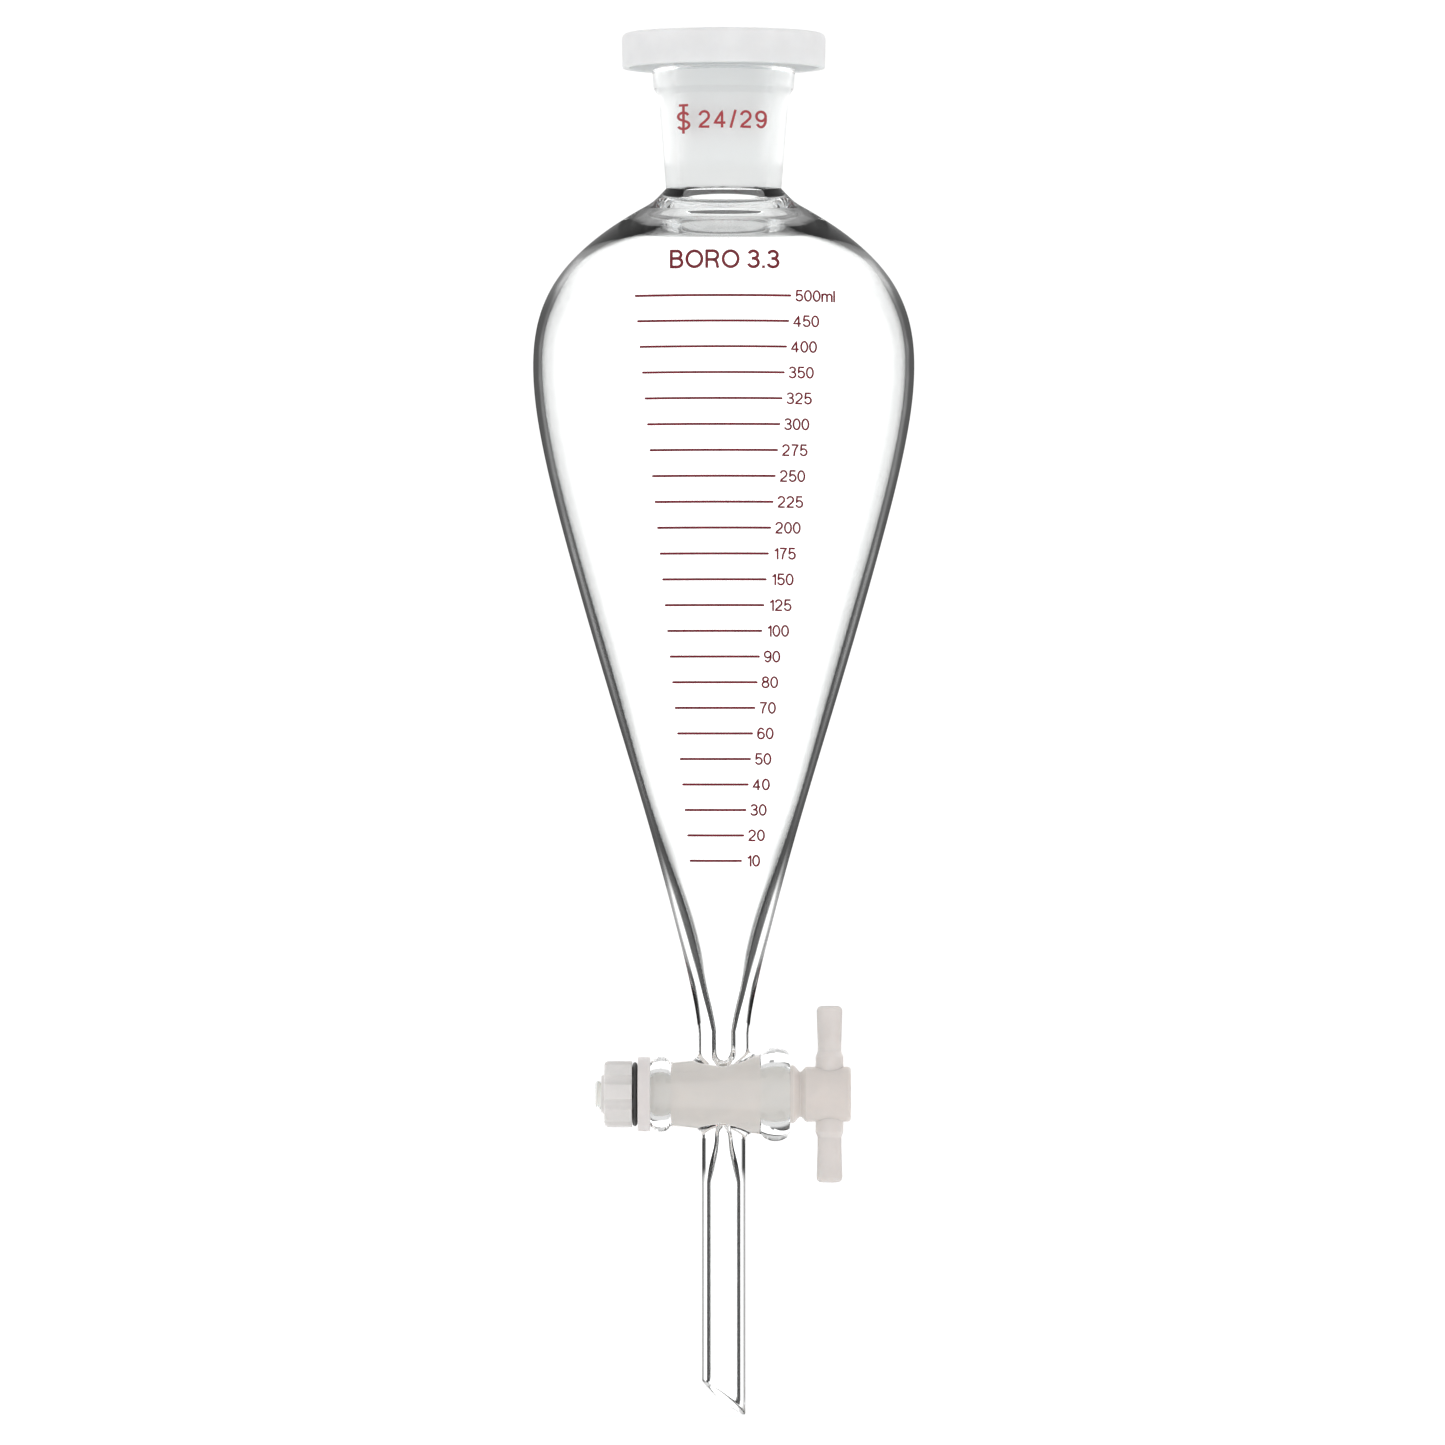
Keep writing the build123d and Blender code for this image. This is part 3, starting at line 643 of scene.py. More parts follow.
def joint_mark_print():
    """The sign for a standard taper, a little lower than the joint's size beside it."""
    low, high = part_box("joint_size_mark")
    height, width, drop = 4.2 * MM, 0.6 * MM, 0.3 * MM
    z = high.z - height / 2 - 0.9 * MM
    marks = Print()
    marks.text(["taper"], 1.06 * height, low.x - 0.45 * MM, z - drop, width)
    marks.text("24/29", height, low.x + 4.8 * MM, z, width, 0.19)
    return marks.build("joint_size_print")


def grade_mark_print():
    low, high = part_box("glass_grade_mark")
    marks = Print()
    marks.text("BORO 3.3", 4.5 * MM, low.x, (low.z + high.z) / 2, 0.70 * MM)
    return marks.build("glass_grade_print")


# ---- turned pieces
def lathe(name, outline, segments, place, shape=None):
    """Turns a closed outline of (along, radius) round an axis. place(along, radius, turn) gives the
    point, and shape(along, radius, turn) may change the radius. An outline that starts and ends on
    the axis is closed there with a fan."""
    skin = Skin()
    on_axis = outline[0][1] < 1e-9
    rings = []
    for along, radius in outline[1:-1] if on_axis else outline:
        points = [(shape(along, radius, t) if shape else radius, t) for t in turns(segments)]
        rings.append(skin.ring([place(along, r, t) for r, t in points]))
    skin.chain(rings)
    if on_axis:
        skin.fan(rings[0], place(outline[0][0], 0.0, 0.0))
        skin.fan(rings[-1], place(outline[-1][0], 0.0, 0.0))
    else:
        skin.bridge(rings[-1], rings[0])
    return skin.build(name)


def rounded_mm(corners, radii, steps):
    """The outline, rounded at each corner by its own radius in millimetres."""
    return rounded(corners, lambda i: radii[i] * MM, steps)


def closed(corners):
    """The corners as an outline that starts and ends in the middle of its last side."""
    start = tuple((np.array(corners[-1]) + np.array(corners[0])) / 2)
    return [start] + corners + [start]


def stopper():
    """A hollow plug under a skirted head with a dished top, open at the bottom."""
    low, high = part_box("stopper")
    head_r, foot_z, top_z = high.x, low.z, high.z
    skirt_foot = RIM_Z + 0.1 * MM
    roof_z = top_z - 2.4 * MM
    skirt_r = head_r - 1.8 * MM
    dish_r = head_r - 3.6 * MM
    wall = 1.5 * MM

    def cone(z):
        return 11.95 * MM - TAPER * (RIM_Z - z)

    corners = [
        (roof_z, 0.0), (roof_z, cone(roof_z) - wall), (foot_z, cone(foot_z) - wall),
        (foot_z, cone(foot_z)), (roof_z, cone(roof_z)), (roof_z, skirt_r),
        (skirt_foot, skirt_r), (skirt_foot, head_r - 0.15 * MM), (top_z, head_r),
        (top_z, dish_r), (top_z - 0.5 * MM, dish_r - 0.7 * MM),
        (top_z - 0.5 * MM, 2.4 * MM), (top_z - 0.8 * MM, 2.0 * MM), (top_z - 0.8 * MM, 0.0),
    ]
    radii = [0, 0.8, 0.35, 0.35, 0.5, 0.5, 0.4, 0.4, 2.2, 0.5, 0.5, 0.3, 0.2]
    outline = spaced(rounded_mm(corners, radii, 7), 2.0 * MM)
    return lathe("hollow_stopper", outline, 160, upright)


WETTED = (-13.2 * MM, 9.2 * MM)  # the stretch of the plug between the barrel's beads


def plug_radius(x):
    """Between the beads the key touches the glass, as if wetted, so that the glass magnifies it."""
    touching = WETTED[0] < x < WETTED[1]
    return (6.27 if touching else 6.20) * MM + TAPER * x


NUT_TURNS = JOINTS["nut_turn"]["range_deg"][1] // 360
THREAD_PITCH = JOINTS["nut_travel"]["range_m"][1] / NUT_TURNS
THREAD_START = -17.2 * MM
THREAD_ROOT, THREAD_CREST = 3.05 * MM, 3.75 * MM
THREAD_FLAT = 3.15 * MM  # from the axis to the flat that keys the washer
THREAD_STEP = 0.11 * MM  # spacing of the rings that draw the thread


def thread(x, turn, root, crest, base, top):
    """Radius of a right-hand ridge wound towards -X, wide at its base and flat on top."""
    phase = ((THREAD_START - x) / THREAD_PITCH - turn / (2 * pi) + 0.5) % 1.0 - 0.5
    away = abs(phase) * THREAD_PITCH
    rise = (base / 2 - away) / ((base - top) / 2)
    return root + (crest - root) * max(0.0, min(1.0, rise))


def flattened(radius, turn, flat):
    """The radius, cut off by a flat on top that is flat away from the axis."""
    up = cos(turn)
    return min(radius, flat / up) if up > 0.5 else radius


def cut(piece, *cutters):
    """Takes the cutters' shapes out of the piece."""
    for cutter in cutters:
        modifier = piece.modifiers.new("cut", "BOOLEAN")
        modifier.operation = "DIFFERENCE"
        modifier.solver = "EXACT"
        modifier.object = cutter
        graph = bpy.context.evaluated_depsgraph_get()
        mesh = bpy.data.meshes.new_from_object(piece.evaluated_get(graph), depsgraph=graph)
        piece.modifiers.remove(modifier)
        piece.data = mesh
        bpy.data.objects.remove(cutter)
    shade(piece, 32)


def drill(radius, x):
    """An upright rod through the stopcock's axis, to cut a hole with."""
    skin = Skin()
    reach = 12 * MM
    rings = [skin.ring(circle(radius, STOPCOCK_Z + side * reach, 48, x)) for side in (-1, 1)]
    skin.chain(rings)
    skin.faces.append(tuple(reversed(rings[0])))
    skin.faces.append(tuple(rings[1]))
    return skin.build("cutter")


def stopcock_plug():
    """Threaded end, tapered plug and hub, with the cross bore and the hole for the handle's bar."""
    low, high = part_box("stopcock_plug")
    bar_x, bar_r = span("handle_bar", X)
    hub_r, neck_r = 6.7 * MM, 5.5 * MM
    collar_x, neck_x, hub_x = 17.0 * MM, 18.4 * MM, 18.8 * MM
    steps = [x + side * 0.2 * MM for x in WETTED for side in (-1, 1)]
    tapered = [(x, plug_radius(x)) for x in (THREAD_START, *steps, collar_x)]
    corners = [
        (low.x, 0.0), (low.x, THREAD_ROOT), (THREAD_START, THREAD_ROOT), *tapered,
        (neck_x, neck_r), (hub_x, neck_r), (hub_x + 1.2 * MM, hub_r), (high.x, hub_r),
        (high.x, 0.0),
    ]
    radii = [0, 0.2, 0.2, 0.4, 0.1, 0.1, 0.1, 0.1, 0.35, 0.25, 0.2, 0.35, 0.9]
    outline = rounded_mm(corners, radii, 6)
    near_r, near_x = THREAD_ROOT + 0.3 * MM, THREAD_START + 0.3 * MM
    last = max(k for k, (x, r) in enumerate(outline) if r < near_r and x < near_x)
    outline = spaced(outline[:last + 1], THREAD_STEP) + spaced(outline[last:], 1.5 * MM)[1:]

    def shape(x, radius, turn):
        if x > THREAD_START - 0.25 * MM or radius < THREAD_ROOT - 0.01 * MM:
            return radius
        fade = min(1.0, (x - low.x) / (0.7 * MM), (THREAD_START - x) / (0.8 * MM))
        crest = THREAD_ROOT + (THREAD_CREST - THREAD_ROOT) * fade
        ridge = thread(x, turn, THREAD_ROOT, crest, 1.05 * MM, 0.35 * MM)
        return flattened(ridge, turn, THREAD_FLAT)

    piece = lathe("stopcock_key", outline, 96, sideways, shape)
    cut(piece, drill(1.25 * MM, 0.0), drill(bar_r, bar_x))
    return piece


def handle_bar():
    """A round bar, waisted between the hub and its rounded tips."""
    x, r = span("handle_bar", X)
    half = span("handle_bar", Z)[1]
    tip_r, waist_r, seat = 3.15 * MM, 2.9 * MM, 9.7 * MM
    upper = [
        (half, 0.0), (half, tip_r), (seat + 3.2 * MM, waist_r), (seat + 0.7 * MM, waist_r),
        (seat - 0.5 * MM, r),
    ]
    corners = upper + [(-a, b) for a, b in upper[::-1]]
    radii = [0, 1.5, 3.0, 1.0, 0.9, 0.5, 0.6, 3.0, 2.6]
    outline = spaced(rounded_mm(corners, radii, 8), 1.2 * MM)

    def place(along, radius, turn):
        return (x + radius * cos(turn), radius * sin(turn), STOPCOCK_Z + along)

    return lathe("t_handle_bar", outline, 72, place)


def washer():
    low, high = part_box("washer")
    r = span("washer", Z)[1]
    play = 0.15 * MM
    hole = THREAD_CREST + play
    corners = [(low.x, r), (high.x, r), (high.x, hole), (low.x, hole)]
    outline = spaced(rounded(closed(corners), 0.28 * MM, 4), 1.0 * MM)[:-1]

    def shape(x, radius, turn):
        return flattened(radius, turn, THREAD_FLAT + play) if radius < hole + 0.4 * MM else radius

    return lathe("keyed_washer", outline, 128, sideways, shape)


def o_ring():
    """Squeezed, so that its faces against the washer and the nut are a little flat."""
    x, half_x = span("o_ring", X)
    half_r = 1.02 * MM
    r = span("o_ring", Z)[1] - half_r
    outline = []
    for a in turns(28):
        squeeze = 0.97 if abs(sin(a)) < 0.44 else 1.0
        outline.append((x + half_x * cos(a) * squeeze, r + half_r * sin(a)))
    return lathe("squeezed_o_ring", outline, 128, sideways)


def tension_nut():
    """A fluted nut with a boss on its free end, a spigot towards the O-ring and a thread inside."""
    low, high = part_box("tension_nut")
    nut_r, spigot_r = span("tension_nut", Z)[1], 5.6 * MM
    left_x, face_x = low.x + 0.7 * MM, high.x - 0.9 * MM
    hole = THREAD_CREST + 0.1 * MM
    corners = [
        (low.x, hole + 0.15 * MM), (low.x, hole + 0.6 * MM), (left_x, 4.9 * MM),
        (left_x, nut_r), (face_x, nut_r), (face_x, spigot_r), (high.x, spigot_r), (high.x, hole),
    ]
    radii = [0, 0.15, 0.25, 0.3, 1.3, 0.35, 0.15, 0.25, 0.2]
    outline = spaced(rounded_mm(closed(corners), radii, 6)[1:-1], 0.5 * MM)
    outline += spaced([outline[-1], outline[0]], THREAD_STEP)[1:-1]
    flutes, flute_r, depth = 8, 1.7 * MM, 0.8 * MM
    centre_r = nut_r - depth + flute_r
    first, step = radians(61), 2 * pi / flutes

    def shape(x, radius, turn):
        if radius < hole + 0.05 * MM:
            return thread(x, turn, THREAD_ROOT + 0.1 * MM, hole, 1.25 * MM, 0.55 * MM)
        if x < left_x - 0.01 * MM or x > face_x or radius < 6.6 * MM:
            return radius
        off = (first - turn + step / 2) % step - step / 2
        across = centre_r * sin(abs(off))
        if across >= flute_r:
            return radius
        return min(radius, centre_r * cos(off) - sqrt(flute_r ** 2 - across ** 2))

    return lathe("fluted_tension_nut", outline, 288, sideways, shape)


# ---- materials
class Nodes:
    """The nodes of a material or a world. add() makes one, and an input may be a value or another
    node's output."""

    def __init__(self, data):
        data.use_nodes = True
        self.data, self.tree = data, data.node_tree
        self.tree.nodes.clear()

    def add(self, kind, inputs=None, output=0, **settings):
        node = self.tree.nodes.new("ShaderNode" + kind)
        for key, value in settings.items():
            setattr(node, key, value)
        for key, value in (inputs or {}).items():
            socket = node.inputs[key]
            if isinstance(value, bpy.types.NodeSocket):
                self.tree.links.new(value, socket)
            else:
                socket.default_value = value
        return node.outputs[output]

    def math(self, operation, *values):
        return self.add("Math", dict(enumerate(values)), operation=operation)

    def vector(self, operation, *values, output=0):
        return self.add("VectorMath", dict(enumerate(values)), output, operation=operation)

    def plus(self, a, b):
        return self.math("ADD", a, b)

    def minus(self, a, b):
        return self.math("SUBTRACT", a, b)

    def times(self, a, b):
        return self.math("MULTIPLY", a, b)

    def divided(self, a, b):
        return self.math("DIVIDE", a, b)

    def length(self, a, b):
        return self.math("SQRT", self.plus(self.times(a, a), self.times(b, b)))

    def mix(self, factor, a, b):
        """The number a where factor is 0 and b where it is 1."""
        return self.add("Mix", {0: factor, 2: a, 3: b})

    def blend(self, factor, a, b):
        """The colour a where factor is 0 and b where it is 1."""
        return self.add("Mix", {0: factor, 6: a, 7: b}, output=2, data_type="RGBA")

    def ramp(self, value, low, high, to_low=0.0, to_high=1.0):
        """value mapped from low..high to to_low..to_high, with soft ends."""
        inputs = {0: value, 1: low, 2: high, 3: to_low, 4: to_high}
        return self.add("MapRange", inputs, interpolation_type="SMOOTHSTEP")

    def noise(self, coords, scale, detail=3.0, roughness=0.5):
        inputs = {"Vector": coords, "Scale": scale, "Detail": detail, "Roughness": roughness}
        return self.add("TexNoise", inputs)

    def patches(self, coords, scale):
        """Soft patches between 0 and 1."""
        return self.ramp(self.noise(coords, scale, 4.0), 0.3, 0.7)

    def place(self):
        """Position in the part's frame, in metres."""
        return self.add("TexCoord", output=3)

    def parts(self, vector):
        """The x, y and z of a vector."""
        node = self.tree.nodes.new("ShaderNodeSeparateXYZ")
        self.tree.links.new(vector, node.inputs[0])
        return node.outputs

    def bump(self, height, distance, strength=1.0, **normal):
        inputs = {"Height": height, "Distance": distance, "Strength": strength}
        return self.add("Bump", inputs | normal)

    def finish(self, surface, kind="Material"):
        output = self.tree.nodes.new("ShaderNodeOutput" + kind)
        self.tree.links.new(surface, output.inputs[0])
        return self.data


class Material(Nodes):
    def __init__(self, name):
        super().__init__(bpy.data.materials.new(name))

    def principled(self, colour, roughness, normal, others):
        inputs = {"Base Color": colour, "Roughness": roughness, "Normal": normal}
        return self.add("BsdfPrincipled", inputs | others)


def subsurface(weight, radius, depth):
    names = ("Subsurface Weight", "Subsurface Radius", "Subsurface Scale")
    return dict(zip(names, (weight, radius, depth)))


def glass_material():
    """Clear glass, etched white where the socket is ground. Shadow rays and light from matt pieces
    pass straight through, so that the plug and the stopper are lit as if in the open."""
    m = Material("clear_borosilicate")
    place = m.place()
    x, y, z = m.parts(place)
    wobble = m.times(m.minus(m.noise(place, 260.0), 0.5), 1.6 * MM)
    above = m.ramp(m.plus(z, wobble), NECK_FOOT_Z - 1.5 * MM, NECK_FOOT_Z - 0.5 * MM)
    inside = m.ramp(m.length(x, y), 12.6 * MM, 12.9 * MM, 1.0, 0.0)
    below_rim = m.ramp(z, RIM_Z - 0.7 * MM, RIM_Z - 0.3 * MM, 1.0, 0.0)
    ground = m.times(m.times(above, inside), below_rim)
    tone = m.ramp(m.noise(place, 900.0, 4.0, 0.65), 0.3, 0.7, 0.36, 0.52)
    ripple = m.bump(m.noise(place, 46.0, 1.0), 0.05 * MM, 0.35)
    grain = m.noise(place, 5200.0, 4.0, 0.7)
    etched = m.bump(grain, 0.03 * MM, m.times(ground, 0.9), Normal=ripple)
    colour = m.blend(ground, (0.990, 0.996, 0.994, 1), (0.985, 0.972, 0.968, 1))
    body = m.principled(colour, m.times(ground, tone), etched, {
        "IOR": 1.473, "Transmission Weight": m.ramp(ground, 0.0, 1.0, 1.0, 0.45),
    })
    clear = m.add("BsdfTransparent", {"Color": (0.93, 0.95, 0.95, 1)})
    rays = [m.add("LightPath", output=f"Is {kind} Ray") for kind in ("Shadow", "Diffuse")]
    return m.finish(m.add("MixShader", {0: m.math("MAXIMUM", *rays), 1: body, 2: clear}))


def enamel_material():
    """Dark red on the clear glass. On the ground neck a brighter red is painted as light that the
    white glass behind the print throws through it.
    """
    m = Material("fired_red_enamel")
    place = m.place()
    mottle = m.ramp(m.noise(place, 700.0, 4.0), 0.3, 0.75)
    colour = m.blend(mottle, (0.17, 0.005, 0.016, 1), (0.24, 0.009, 0.022, 1))
    # Painted light: the same enamel is made brighter where it lies on the ground neck, standing in
    # for the white glass lighting it from behind.
    backlit_neck = m.ramp(m.parts(place)[2], NECK_FOOT_Z, NECK_FOOT_Z + 1 * MM)
    colour = m.blend(backlit_neck, colour, (0.34, 0.008, 0.016, 1))
    grain = m.noise(place, 3000.0, 3.0)
    roughness, normal = m.ramp(grain, 0.2, 0.8, 0.3, 0.48), m.bump(grain, 0.01 * MM, 0.6)
    coat = {"Coat Weight": 0.25, "Coat Roughness": 0.2}
    return m.finish(m.principled(colour, roughness, normal, coat))


def polypropylene_material():
    """Milky moulded plastic with a fine orange peel and a few scuffs."""
    m = Material("natural_polypropylene")
    place = m.place()
    colour = m.blend(m.patches(place, 120.0), (0.80, 0.80, 0.805, 1), (0.85, 0.85, 0.855, 1))
    peel = m.noise(place, 1400.0, 3.0)
    scuffs = m.ramp(m.noise(place, 420.0, 5.0, 0.7), 0.62, 0.8)
    roughness = m.plus(m.ramp(peel, 0.3, 0.7, 0.3, 0.4), m.times(scuffs, 0.18))
    return m.finish(m.principled(colour, roughness, m.bump(peel, 0.03 * MM, 0.35), {
        "IOR": 1.49, "Transmission Weight": 0.12, **subsurface(0.75, (1.0, 0.95, 0.9), 3.2 * MM),
    }))


STUB_X = -27.5 * MM  # the end of the key beyond the nut is paler
FEED = 0.16 * MM  # spacing of the lathe's marks


def turned_ptfe_material(name, warm, cool, along_x=True):
    """Waxy white plastic with the lathe's marks across the piece's axis."""
    m = Material(name)
    place = m.place()
    x, _, z = m.parts(place)
    colour = m.blend(m.patches(place, 240.0), warm, cool)
    if along_x:
        colour = m.blend(m.ramp(x, STUB_X - 1 * MM, STUB_X), (0.84, 0.84, 0.81, 1), colour)
    travel = m.plus(x if along_x else z, m.times(m.noise(place, 160.0), 0.25 * MM))
    marks = m.math("SINE", m.times(travel, 2 * pi / FEED))
    broad = m.noise(place, 900.0, 4.0, 0.6)
    normal = m.bump(m.plus(m.times(marks, 0.12), broad), 0.03 * MM, 0.5)
    return m.finish(m.principled(colour, m.ramp(broad, 0.25, 0.75, 0.38, 0.55), normal, {
        "IOR": 1.38, **subsurface(0.35, (1.0, 0.85, 0.75), 1.4 * MM),
    }))


def rubber_material():
    """Black rubber with dust on it and the mould's seam round its middle."""
    m = Material("black_nitrile")
    place = m.place()
    dust = m.ramp(m.noise(place, 1500.0, 5.0, 0.75), 0.58, 0.8)
    from_seam = m.math("ABSOLUTE", m.minus(m.parts(place)[0], span("o_ring", X)[0]))
    seam = m.ramp(from_seam, 0.03 * MM, 0.1 * MM, 1.0, 0.0)
    colour = m.blend(dust, (0.034, 0.034, 0.034, 1), (0.10, 0.095, 0.09, 1))
    normal = m.bump(m.plus(m.noise(place, 2500.0, 3.0), seam), 0.03 * MM, 0.5)
    return m.finish(m.principled(colour, m.ramp(dust, 0.0, 1.0, 0.5, 0.75), normal, {}))


def moulded_material(name, light, dark):
    """Moulded plastic, sparked in the mould, and rougher where its outside is worn."""
    m = Material(name)
    place = m.place()
    _, y, z = m.parts(place)
    sparks = m.noise(place, 2600.0, 3.0, 0.6)
    away = m.length(y, m.minus(z, STOPCOCK_Z))
    edge = m.plus(away, m.times(m.noise(place, 1200.0), 0.6 * MM))
    worn = m.times(m.ramp(edge, 8.1 * MM, 8.5 * MM), 0.1)
    roughness = m.plus(m.ramp(sparks, 0.2, 0.8, 0.36, 0.5), worn)
    colour = m.blend(m.patches(place, 300.0), light, dark)
    return m.finish(m.principled(colour, roughness, m.bump(sparks, 0.025 * MM, 0.5),
                                 subsurface(0.3, (1.0, 0.9, 0.85), 1.2 * MM)))


# ---- studio
CENTRE_Z = (cad_low.z + cad_high.z) / 2

# Clear glass shows only what surrounds it. These are the surroundings, in zones by the height at
# which a ray passes the funnel's axis. Light that leaves away from the axis fades from behind to
# leaving_dark between two angles, and light that crosses towards it fades to edge_dark between
# another two. Light from nearer to the outline than the margin is dark whatever its angle, and
# side is the level far round to the side.
FIELDS = "start blend leaving crossing margin leaving_dark edge_dark side behind"
Zone = namedtuple("Zone", FIELDS, defaults=(0.0, 1.0))
ZONES = [Zone(*numbers) for numbers in (
    (-1.0, 0.001, (26, 38), (60, 85), 0.5 * MM, 0.02, 0.20),  # stem
    (0.0585, 0.004, (20, 34), (40, 54), 0.9 * MM, 0.02, 0.02),  # flare under the barrel
    (0.0690, 0.001, (35, 80), (40, 85), 0.1 * MM, 0.80, 0.80, 0.9),  # stopcock barrel
    (0.0868, 0.001, (26, 40), (46, 58), 0.9 * MM, 0.02, 0.02),  # tube
    (0.1090, 0.010, (17, 32), (30, 45), 0.7 * MM, 0.03, 0.22),  # foot of the cone
    (0.1330, 0.016, (5, 30), (10, 30), 1.1 * MM, 0.04, 0.06),  # cone
    (0.2250, 0.040, (5, 32), (10, 32), 1.5 * MM, 0.06, 0.06),  # widest part
    (0.2740, 0.016, (10, 48), (10, 48), 1.2 * MM, 0.18, 0.18, 0.15),  # shoulder
    (0.2905, 0.001, (14, 44), (14, 44), 0.8 * MM, 0.16, 0.16, 0.16, 0.06),  # throat's underside
    (0.2935, 0.001, (14, 44), (14, 44), 0.8 * MM, 0.20, 0.18, 0.25, 0.46),  # foot of the neck
    (0.2985, 0.002, (30, 80), (30, 80), 0.5 * MM, 0.40, 0.36, 0.4, 0.42),  # below the stopper
    (0.3040, 0.002, (30, 80), (30, 80), 0.5 * MM, 0.80, 0.48, 0.8),  # neck
)]
STEEP = (0.6, 1.3)  # between these slopes the zones give way to an even level
STEEP_LEVEL, BARREL_LEVEL = 0.13, 0.42
BARREL_REACH = (30 * MM, 45 * MM)  # how near the barrel's middle its own steep light passes
CARD_SOFTNESS = 1.0 * MM
BACKLIGHT = 1.7
TENT = (0.74, 1.0)  # the even light on matt surfaces, from below and above


def silhouette():
    """(height, half width) of the glass, from the tip to the rim, in no more than 32 points. The
    barrel's stretch is wide, so that nothing beside it counts as outside."""
    def stretch(low, high, gap):
        return thin_out([p for p in OUTSIDE if low < p[0] <= high], gap)

    stem = [(0.0, STEM_R), (STOPCOCK_Z - 10.5 * MM, STEM_R)]
    barrel = [(STOPCOCK_Z - 10 * MM, 40 * MM), (STOPCOCK_Z + 10 * MM, 40 * MM)]
    neck = [NECK[0], NECK[len(NECK) // 2]]
    bulb = stretch(0.23, 1, 7 * MM) + stretch(0.125, 0.23, 20 * MM) + stretch(0, 0.125, 5 * MM)
    return stem + barrel + (neck + bulb)[::-1]


def outline(m, height):
    """The glass's half width at a height, as a ramp of greys."""
    top, widest = 0.36, 0.05
    node = m.tree.nodes.new("ShaderNodeValToRGB")
    marks = node.color_ramp.elements
    while len(marks) > 1:
        marks.remove(marks[-1])
    for k, (z, r) in enumerate(silhouette()):
        mark = marks[0] if k == 0 else marks.new(z / top)
        mark.position = z / top
        mark.color = (r / widest, r / widest, r / widest, 1)
    m.tree.links.new(m.divided(height, top), node.inputs[0])
    return m.times(node.outputs[0], widest)


def past_axis(m, position, away):
    """How a ray passes the funnel's axis: its height there, its distance and its slope."""
    x, y, z = m.parts(position)
    dx, dy, dz = m.parts(away)
    flat = m.math("MAXIMUM", m.minus(1.0, m.times(dz, dz)), 0.01)
    run = m.math("SQRT", flat)
    reach = m.divided(m.plus(m.times(x, dx), m.times(y, dy)), flat)
    height = m.minus(z, m.times(reach, dz))
    across = m.divided(m.minus(m.times(y, dx), m.times(x, dy)), run)
    return height, across, m.math("ABSOLUTE", m.divided(dz, run))


def zone_level(m, zone, off, crossing, beyond):
    leaves = m.ramp(off, *zone.leaving, zone.behind, zone.leaving_dark)
    crosses = m.ramp(off, *zone.crossing, zone.behind, zone.edge_dark)
    side = m.ramp(off, zone.leaving[1] + 10, zone.leaving[1] + 45, 0.0, zone.side)
    level = m.math("MAXIMUM", m.mix(crossing, leaves, crosses), side)
    half = CARD_SOFTNESS / 2
    card = m.ramp(beyond, -zone.margin - half, -zone.margin + half)
    return m.mix(card, level, m.math("MINIMUM", level, zone.edge_dark))


def brightness(m, geometry):
    """How bright the surroundings are along a ray that left the object: white straight behind it
    and dark round it, so that glass has dark edges from wherever the camera looks. Light that has
    met a matt surface sees an even tent."""
    position = geometry.outputs["Position"]
    away = m.vector("SUBTRACT", (0, 0, 0), geometry.outputs["Incoming"])
    height, across, slope = past_axis(m, position, away)

    to_camera = {"vector_type": "VECTOR", "convert_from": "WORLD", "convert_to": "CAMERA"}
    way = m.parts(m.add("VectorTransform", {0: away}, **to_camera))
    crossing = m.math("GREATER_THAN", m.times(way[0], m.math("SIGN", across)), 0.0)
    forward = m.math("MAXIMUM", m.math("MINIMUM", way[2], 1.0), -1.0)
    off = m.times(m.math("ARCCOSINE", forward), 180 / pi)
    beyond = m.minus(m.math("ABSOLUTE", across), outline(m, height))
    beyond = m.mix(m.math("GREATER_THAN", way[2], 0.0), -1.0, beyond)

    field = zone_level(m, ZONES[0], off, crossing, beyond)
    for zone in ZONES[1:]:
        half = zone.blend / 2
        weight = m.ramp(height, zone.start - half, zone.start + half)
        field = m.mix(weight, field, zone_level(m, zone, off, crossing, beyond))

    offset = m.vector("SUBTRACT", position, (0, 0, STOPCOCK_Z))
    miss = m.vector("LENGTH", m.vector("CROSS_PRODUCT", offset, away), output=1)
    even = m.ramp(miss, *BARREL_REACH, BARREL_LEVEL, STEEP_LEVEL)
    field = m.mix(m.ramp(slope, *STEEP), field, even)
    behind_camera = m.ramp(off, 120.0, 165.0, 0.0, 0.14)
    bright = m.times(m.plus(field, behind_camera), BACKLIGHT)

    from_left = m.ramp(way[0], -1.0, 1.0, 1.05, 0.95)
    tent = m.times(m.ramp(m.parts(away)[2], -1.0, 1.0, *TENT), from_left)
    matt = m.math("GREATER_THAN", m.add("LightPath", output="Diffuse Depth"), 0.5)
    return m.mix(matt, bright, tent)


def world():
    """White to the camera, and an even tent to everything else."""
    bpy.context.scene.world = bpy.data.worlds.new("studio")
    n = Nodes(bpy.context.scene.world)
    tent = n.ramp(n.parts(n.add("TexCoord"))[2], -1.0, 1.0, *TENT)
    strength = n.mix(n.add("LightPath"), tent, 1.05)
    n.finish(n.add("Background", {"Color": (1, 1, 1, 1), "Strength": strength}), "World")


def staged(piece, material):
    piece.data.materials.append(material)
    return piece


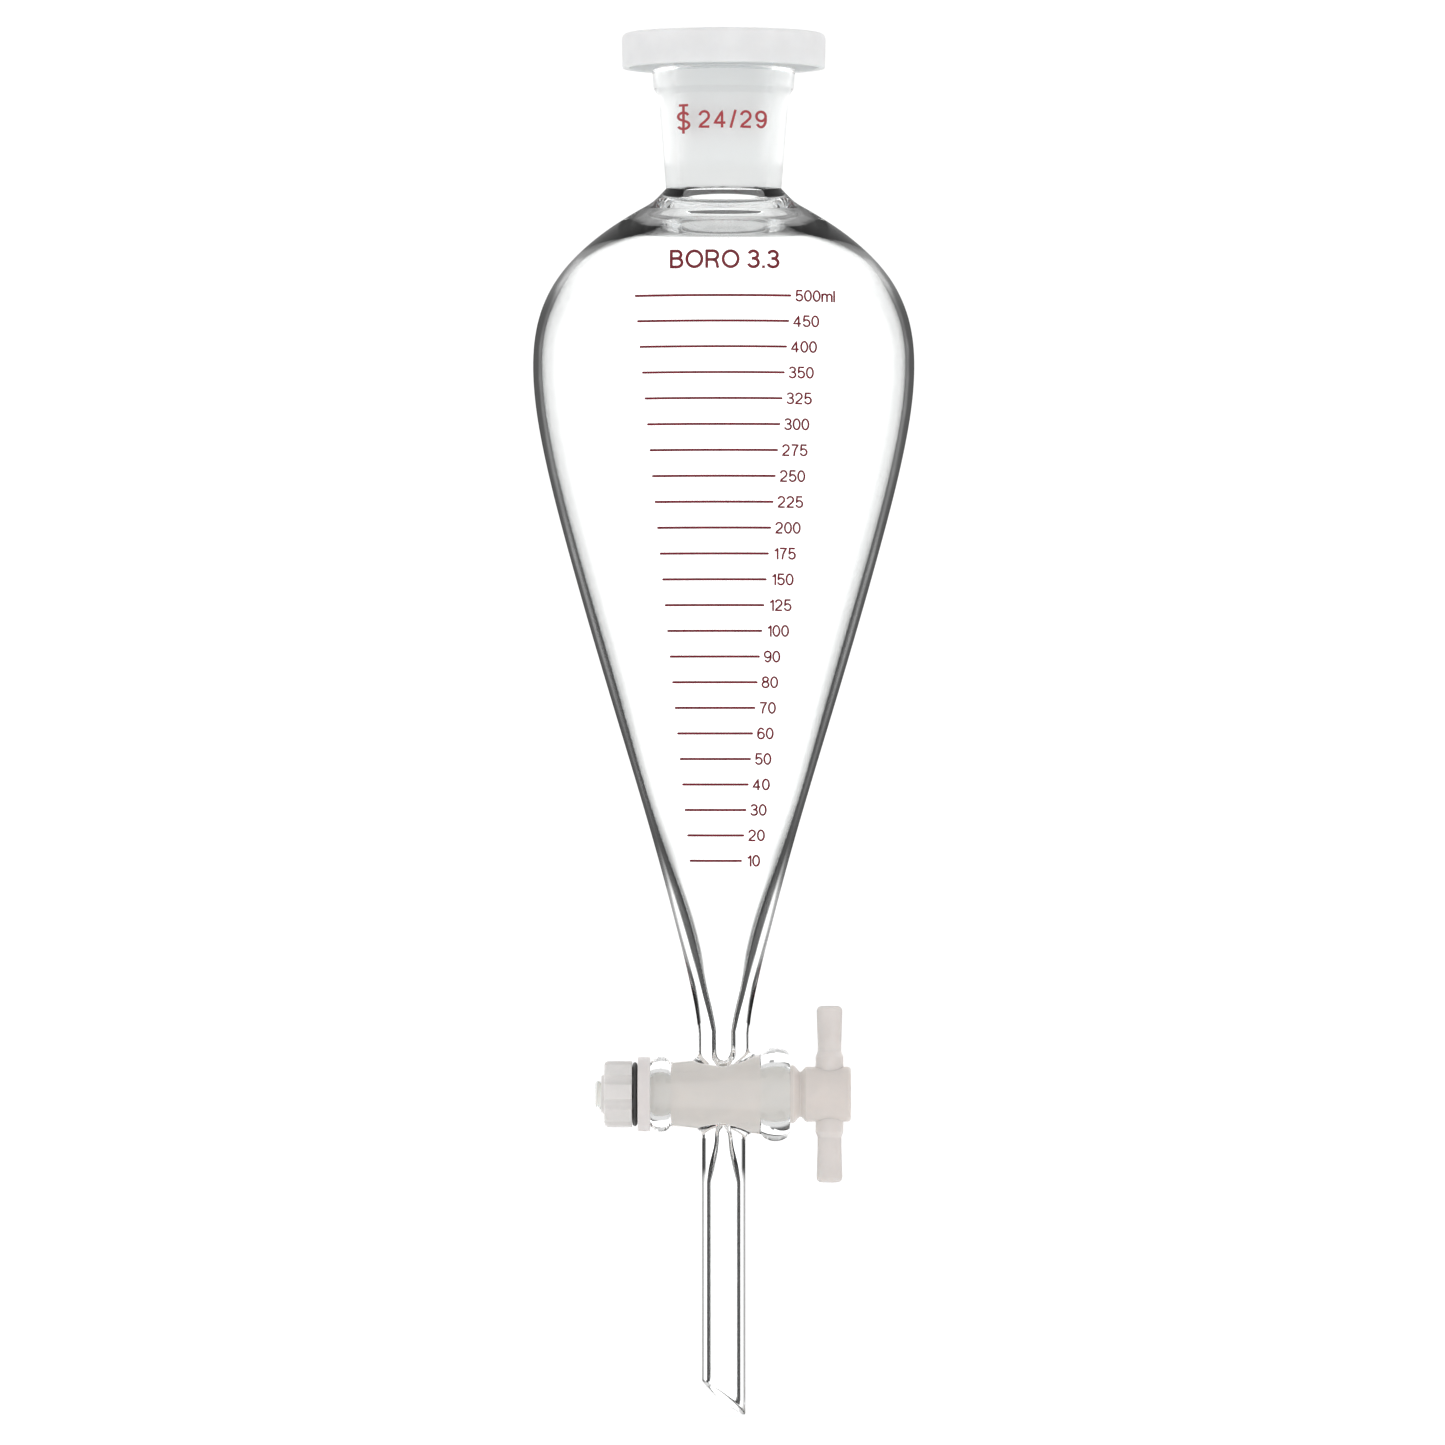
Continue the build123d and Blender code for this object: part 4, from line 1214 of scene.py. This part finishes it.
def dome():
    """Surroundings that only reflections and refractions see."""
    skin = Skin()
    radius, rows = 3.0, 24
    rings = []
    for i in range(1, rows):
        a = pi * i / rows
        rings.append(skin.ring(circle(radius * sin(a), radius * cos(a) + CENTRE_Z, 48)))
    skin.chain(rings)
    skin.fan(rings[0], (0, 0, CENTRE_Z + radius))
    skin.fan(rings[-1], (0, 0, CENTRE_Z - radius))
    m = Material("bright_field")
    strength = brightness(m, m.tree.nodes.new("ShaderNodeNewGeometry"))
    light = m.finish(m.add("Emission", {"Color": (1, 1, 1, 1), "Strength": strength}))
    light.cycles.emission_sampling = "NONE"
    piece = staged(skin.build("surroundings"), light)
    piece.visible_camera = piece.visible_diffuse = piece.visible_shadow = False


def floor():
    skin = Skin()
    z = -0.05 * MM
    rings = [skin.ring(circle(r, z, 64)) for r in (0.2, 0.6, 2.0, 7.0)]
    skin.chain(rings)
    skin.fan(rings[0], (0, 0, z))
    m = Material("pale_floor")
    colour = m.blend(m.ramp(m.noise(m.place(), 3.0), 0.3, 0.7),
                     (0.985, 0.985, 0.985, 1), (0.995, 0.995, 0.995, 1))
    matt = m.add("BsdfDiffuse", {"Color": colour})
    lift = m.add("Emission", {"Color": (1, 1, 1, 1), "Strength": 0.12})
    piece = staged(skin.build("floor"), m.finish(m.add("AddShader", {0: matt, 1: lift})))
    piece.visible_glossy = piece.visible_transmission = False


def camera():
    """A long lens, level with the middle of the object."""
    data = bpy.data.cameras.new("camera")
    piece = bpy.data.objects.new("camera", data)
    bpy.context.scene.collection.objects.link(piece)
    distance, frame_width = 2.4, 0.3511
    data.sensor_width = 36.0
    data.lens = data.sensor_width * distance / frame_width
    data.clip_start, data.clip_end = 0.05, 50.0
    piece.location = (-0.0003, -distance, 0.1685)
    piece.rotation_euler = (pi / 2, 0, 0)
    bpy.context.scene.camera = piece


def settings():
    """Plain colours, and enough bounces for light to get through four walls of glass and a key."""
    view, cycles = bpy.context.scene.view_settings, bpy.context.scene.cycles
    view.view_transform, view.look = "Standard", "None"
    cycles.max_bounces = 24
    cycles.transmission_bounces = 20
    cycles.transparent_max_bounces = 16
    cycles.glossy_bounces = 8
    cycles.caustics_reflective = False
    cycles.blur_glossy = 0.3


# ---- the object
def stand_in(piece, body, node, material):
    """The piece rides on a body, is shown in place of a CAD node, and has a slot and a material."""
    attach(piece, body)
    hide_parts(node)
    piece.data.materials.clear()
    piece.data.materials.append(material)


stand_in(glass_body(), "glass", "glass_body", glass_material())

enamel = enamel_material()
prints = (*scale_prints(), joint_mark_print(), grade_mark_print())
marks = ("scale_lines", "scale_numerals", "joint_size_mark", "glass_grade_mark")
for piece, node in zip(prints, marks):
    stand_in(piece, "glass", node, enamel)

stand_in(stopper(), "stopper", "stopper", polypropylene_material())
stand_in(stopcock_plug(), "key", "stopcock_plug", turned_ptfe_material(
    "turned_ptfe", (0.69, 0.635, 0.60, 1), (0.66, 0.61, 0.58, 1)))
stand_in(handle_bar(), "key", "handle_bar", turned_ptfe_material(
    "tumbled_ptfe", (0.73, 0.685, 0.66, 1), (0.69, 0.645, 0.62, 1), along_x=False))
stand_in(washer(), "key", "washer", moulded_material(
    "punched_washer", (0.73, 0.69, 0.68, 1), (0.69, 0.65, 0.64, 1)))
stand_in(o_ring(), "ring", "o_ring", rubber_material())
stand_in(tension_nut(), "nut", "tension_nut", moulded_material(
    "moulded_nut", (0.71, 0.685, 0.67, 1), (0.67, 0.65, 0.635, 1)))

world()
dome()
floor()
camera()
settings()
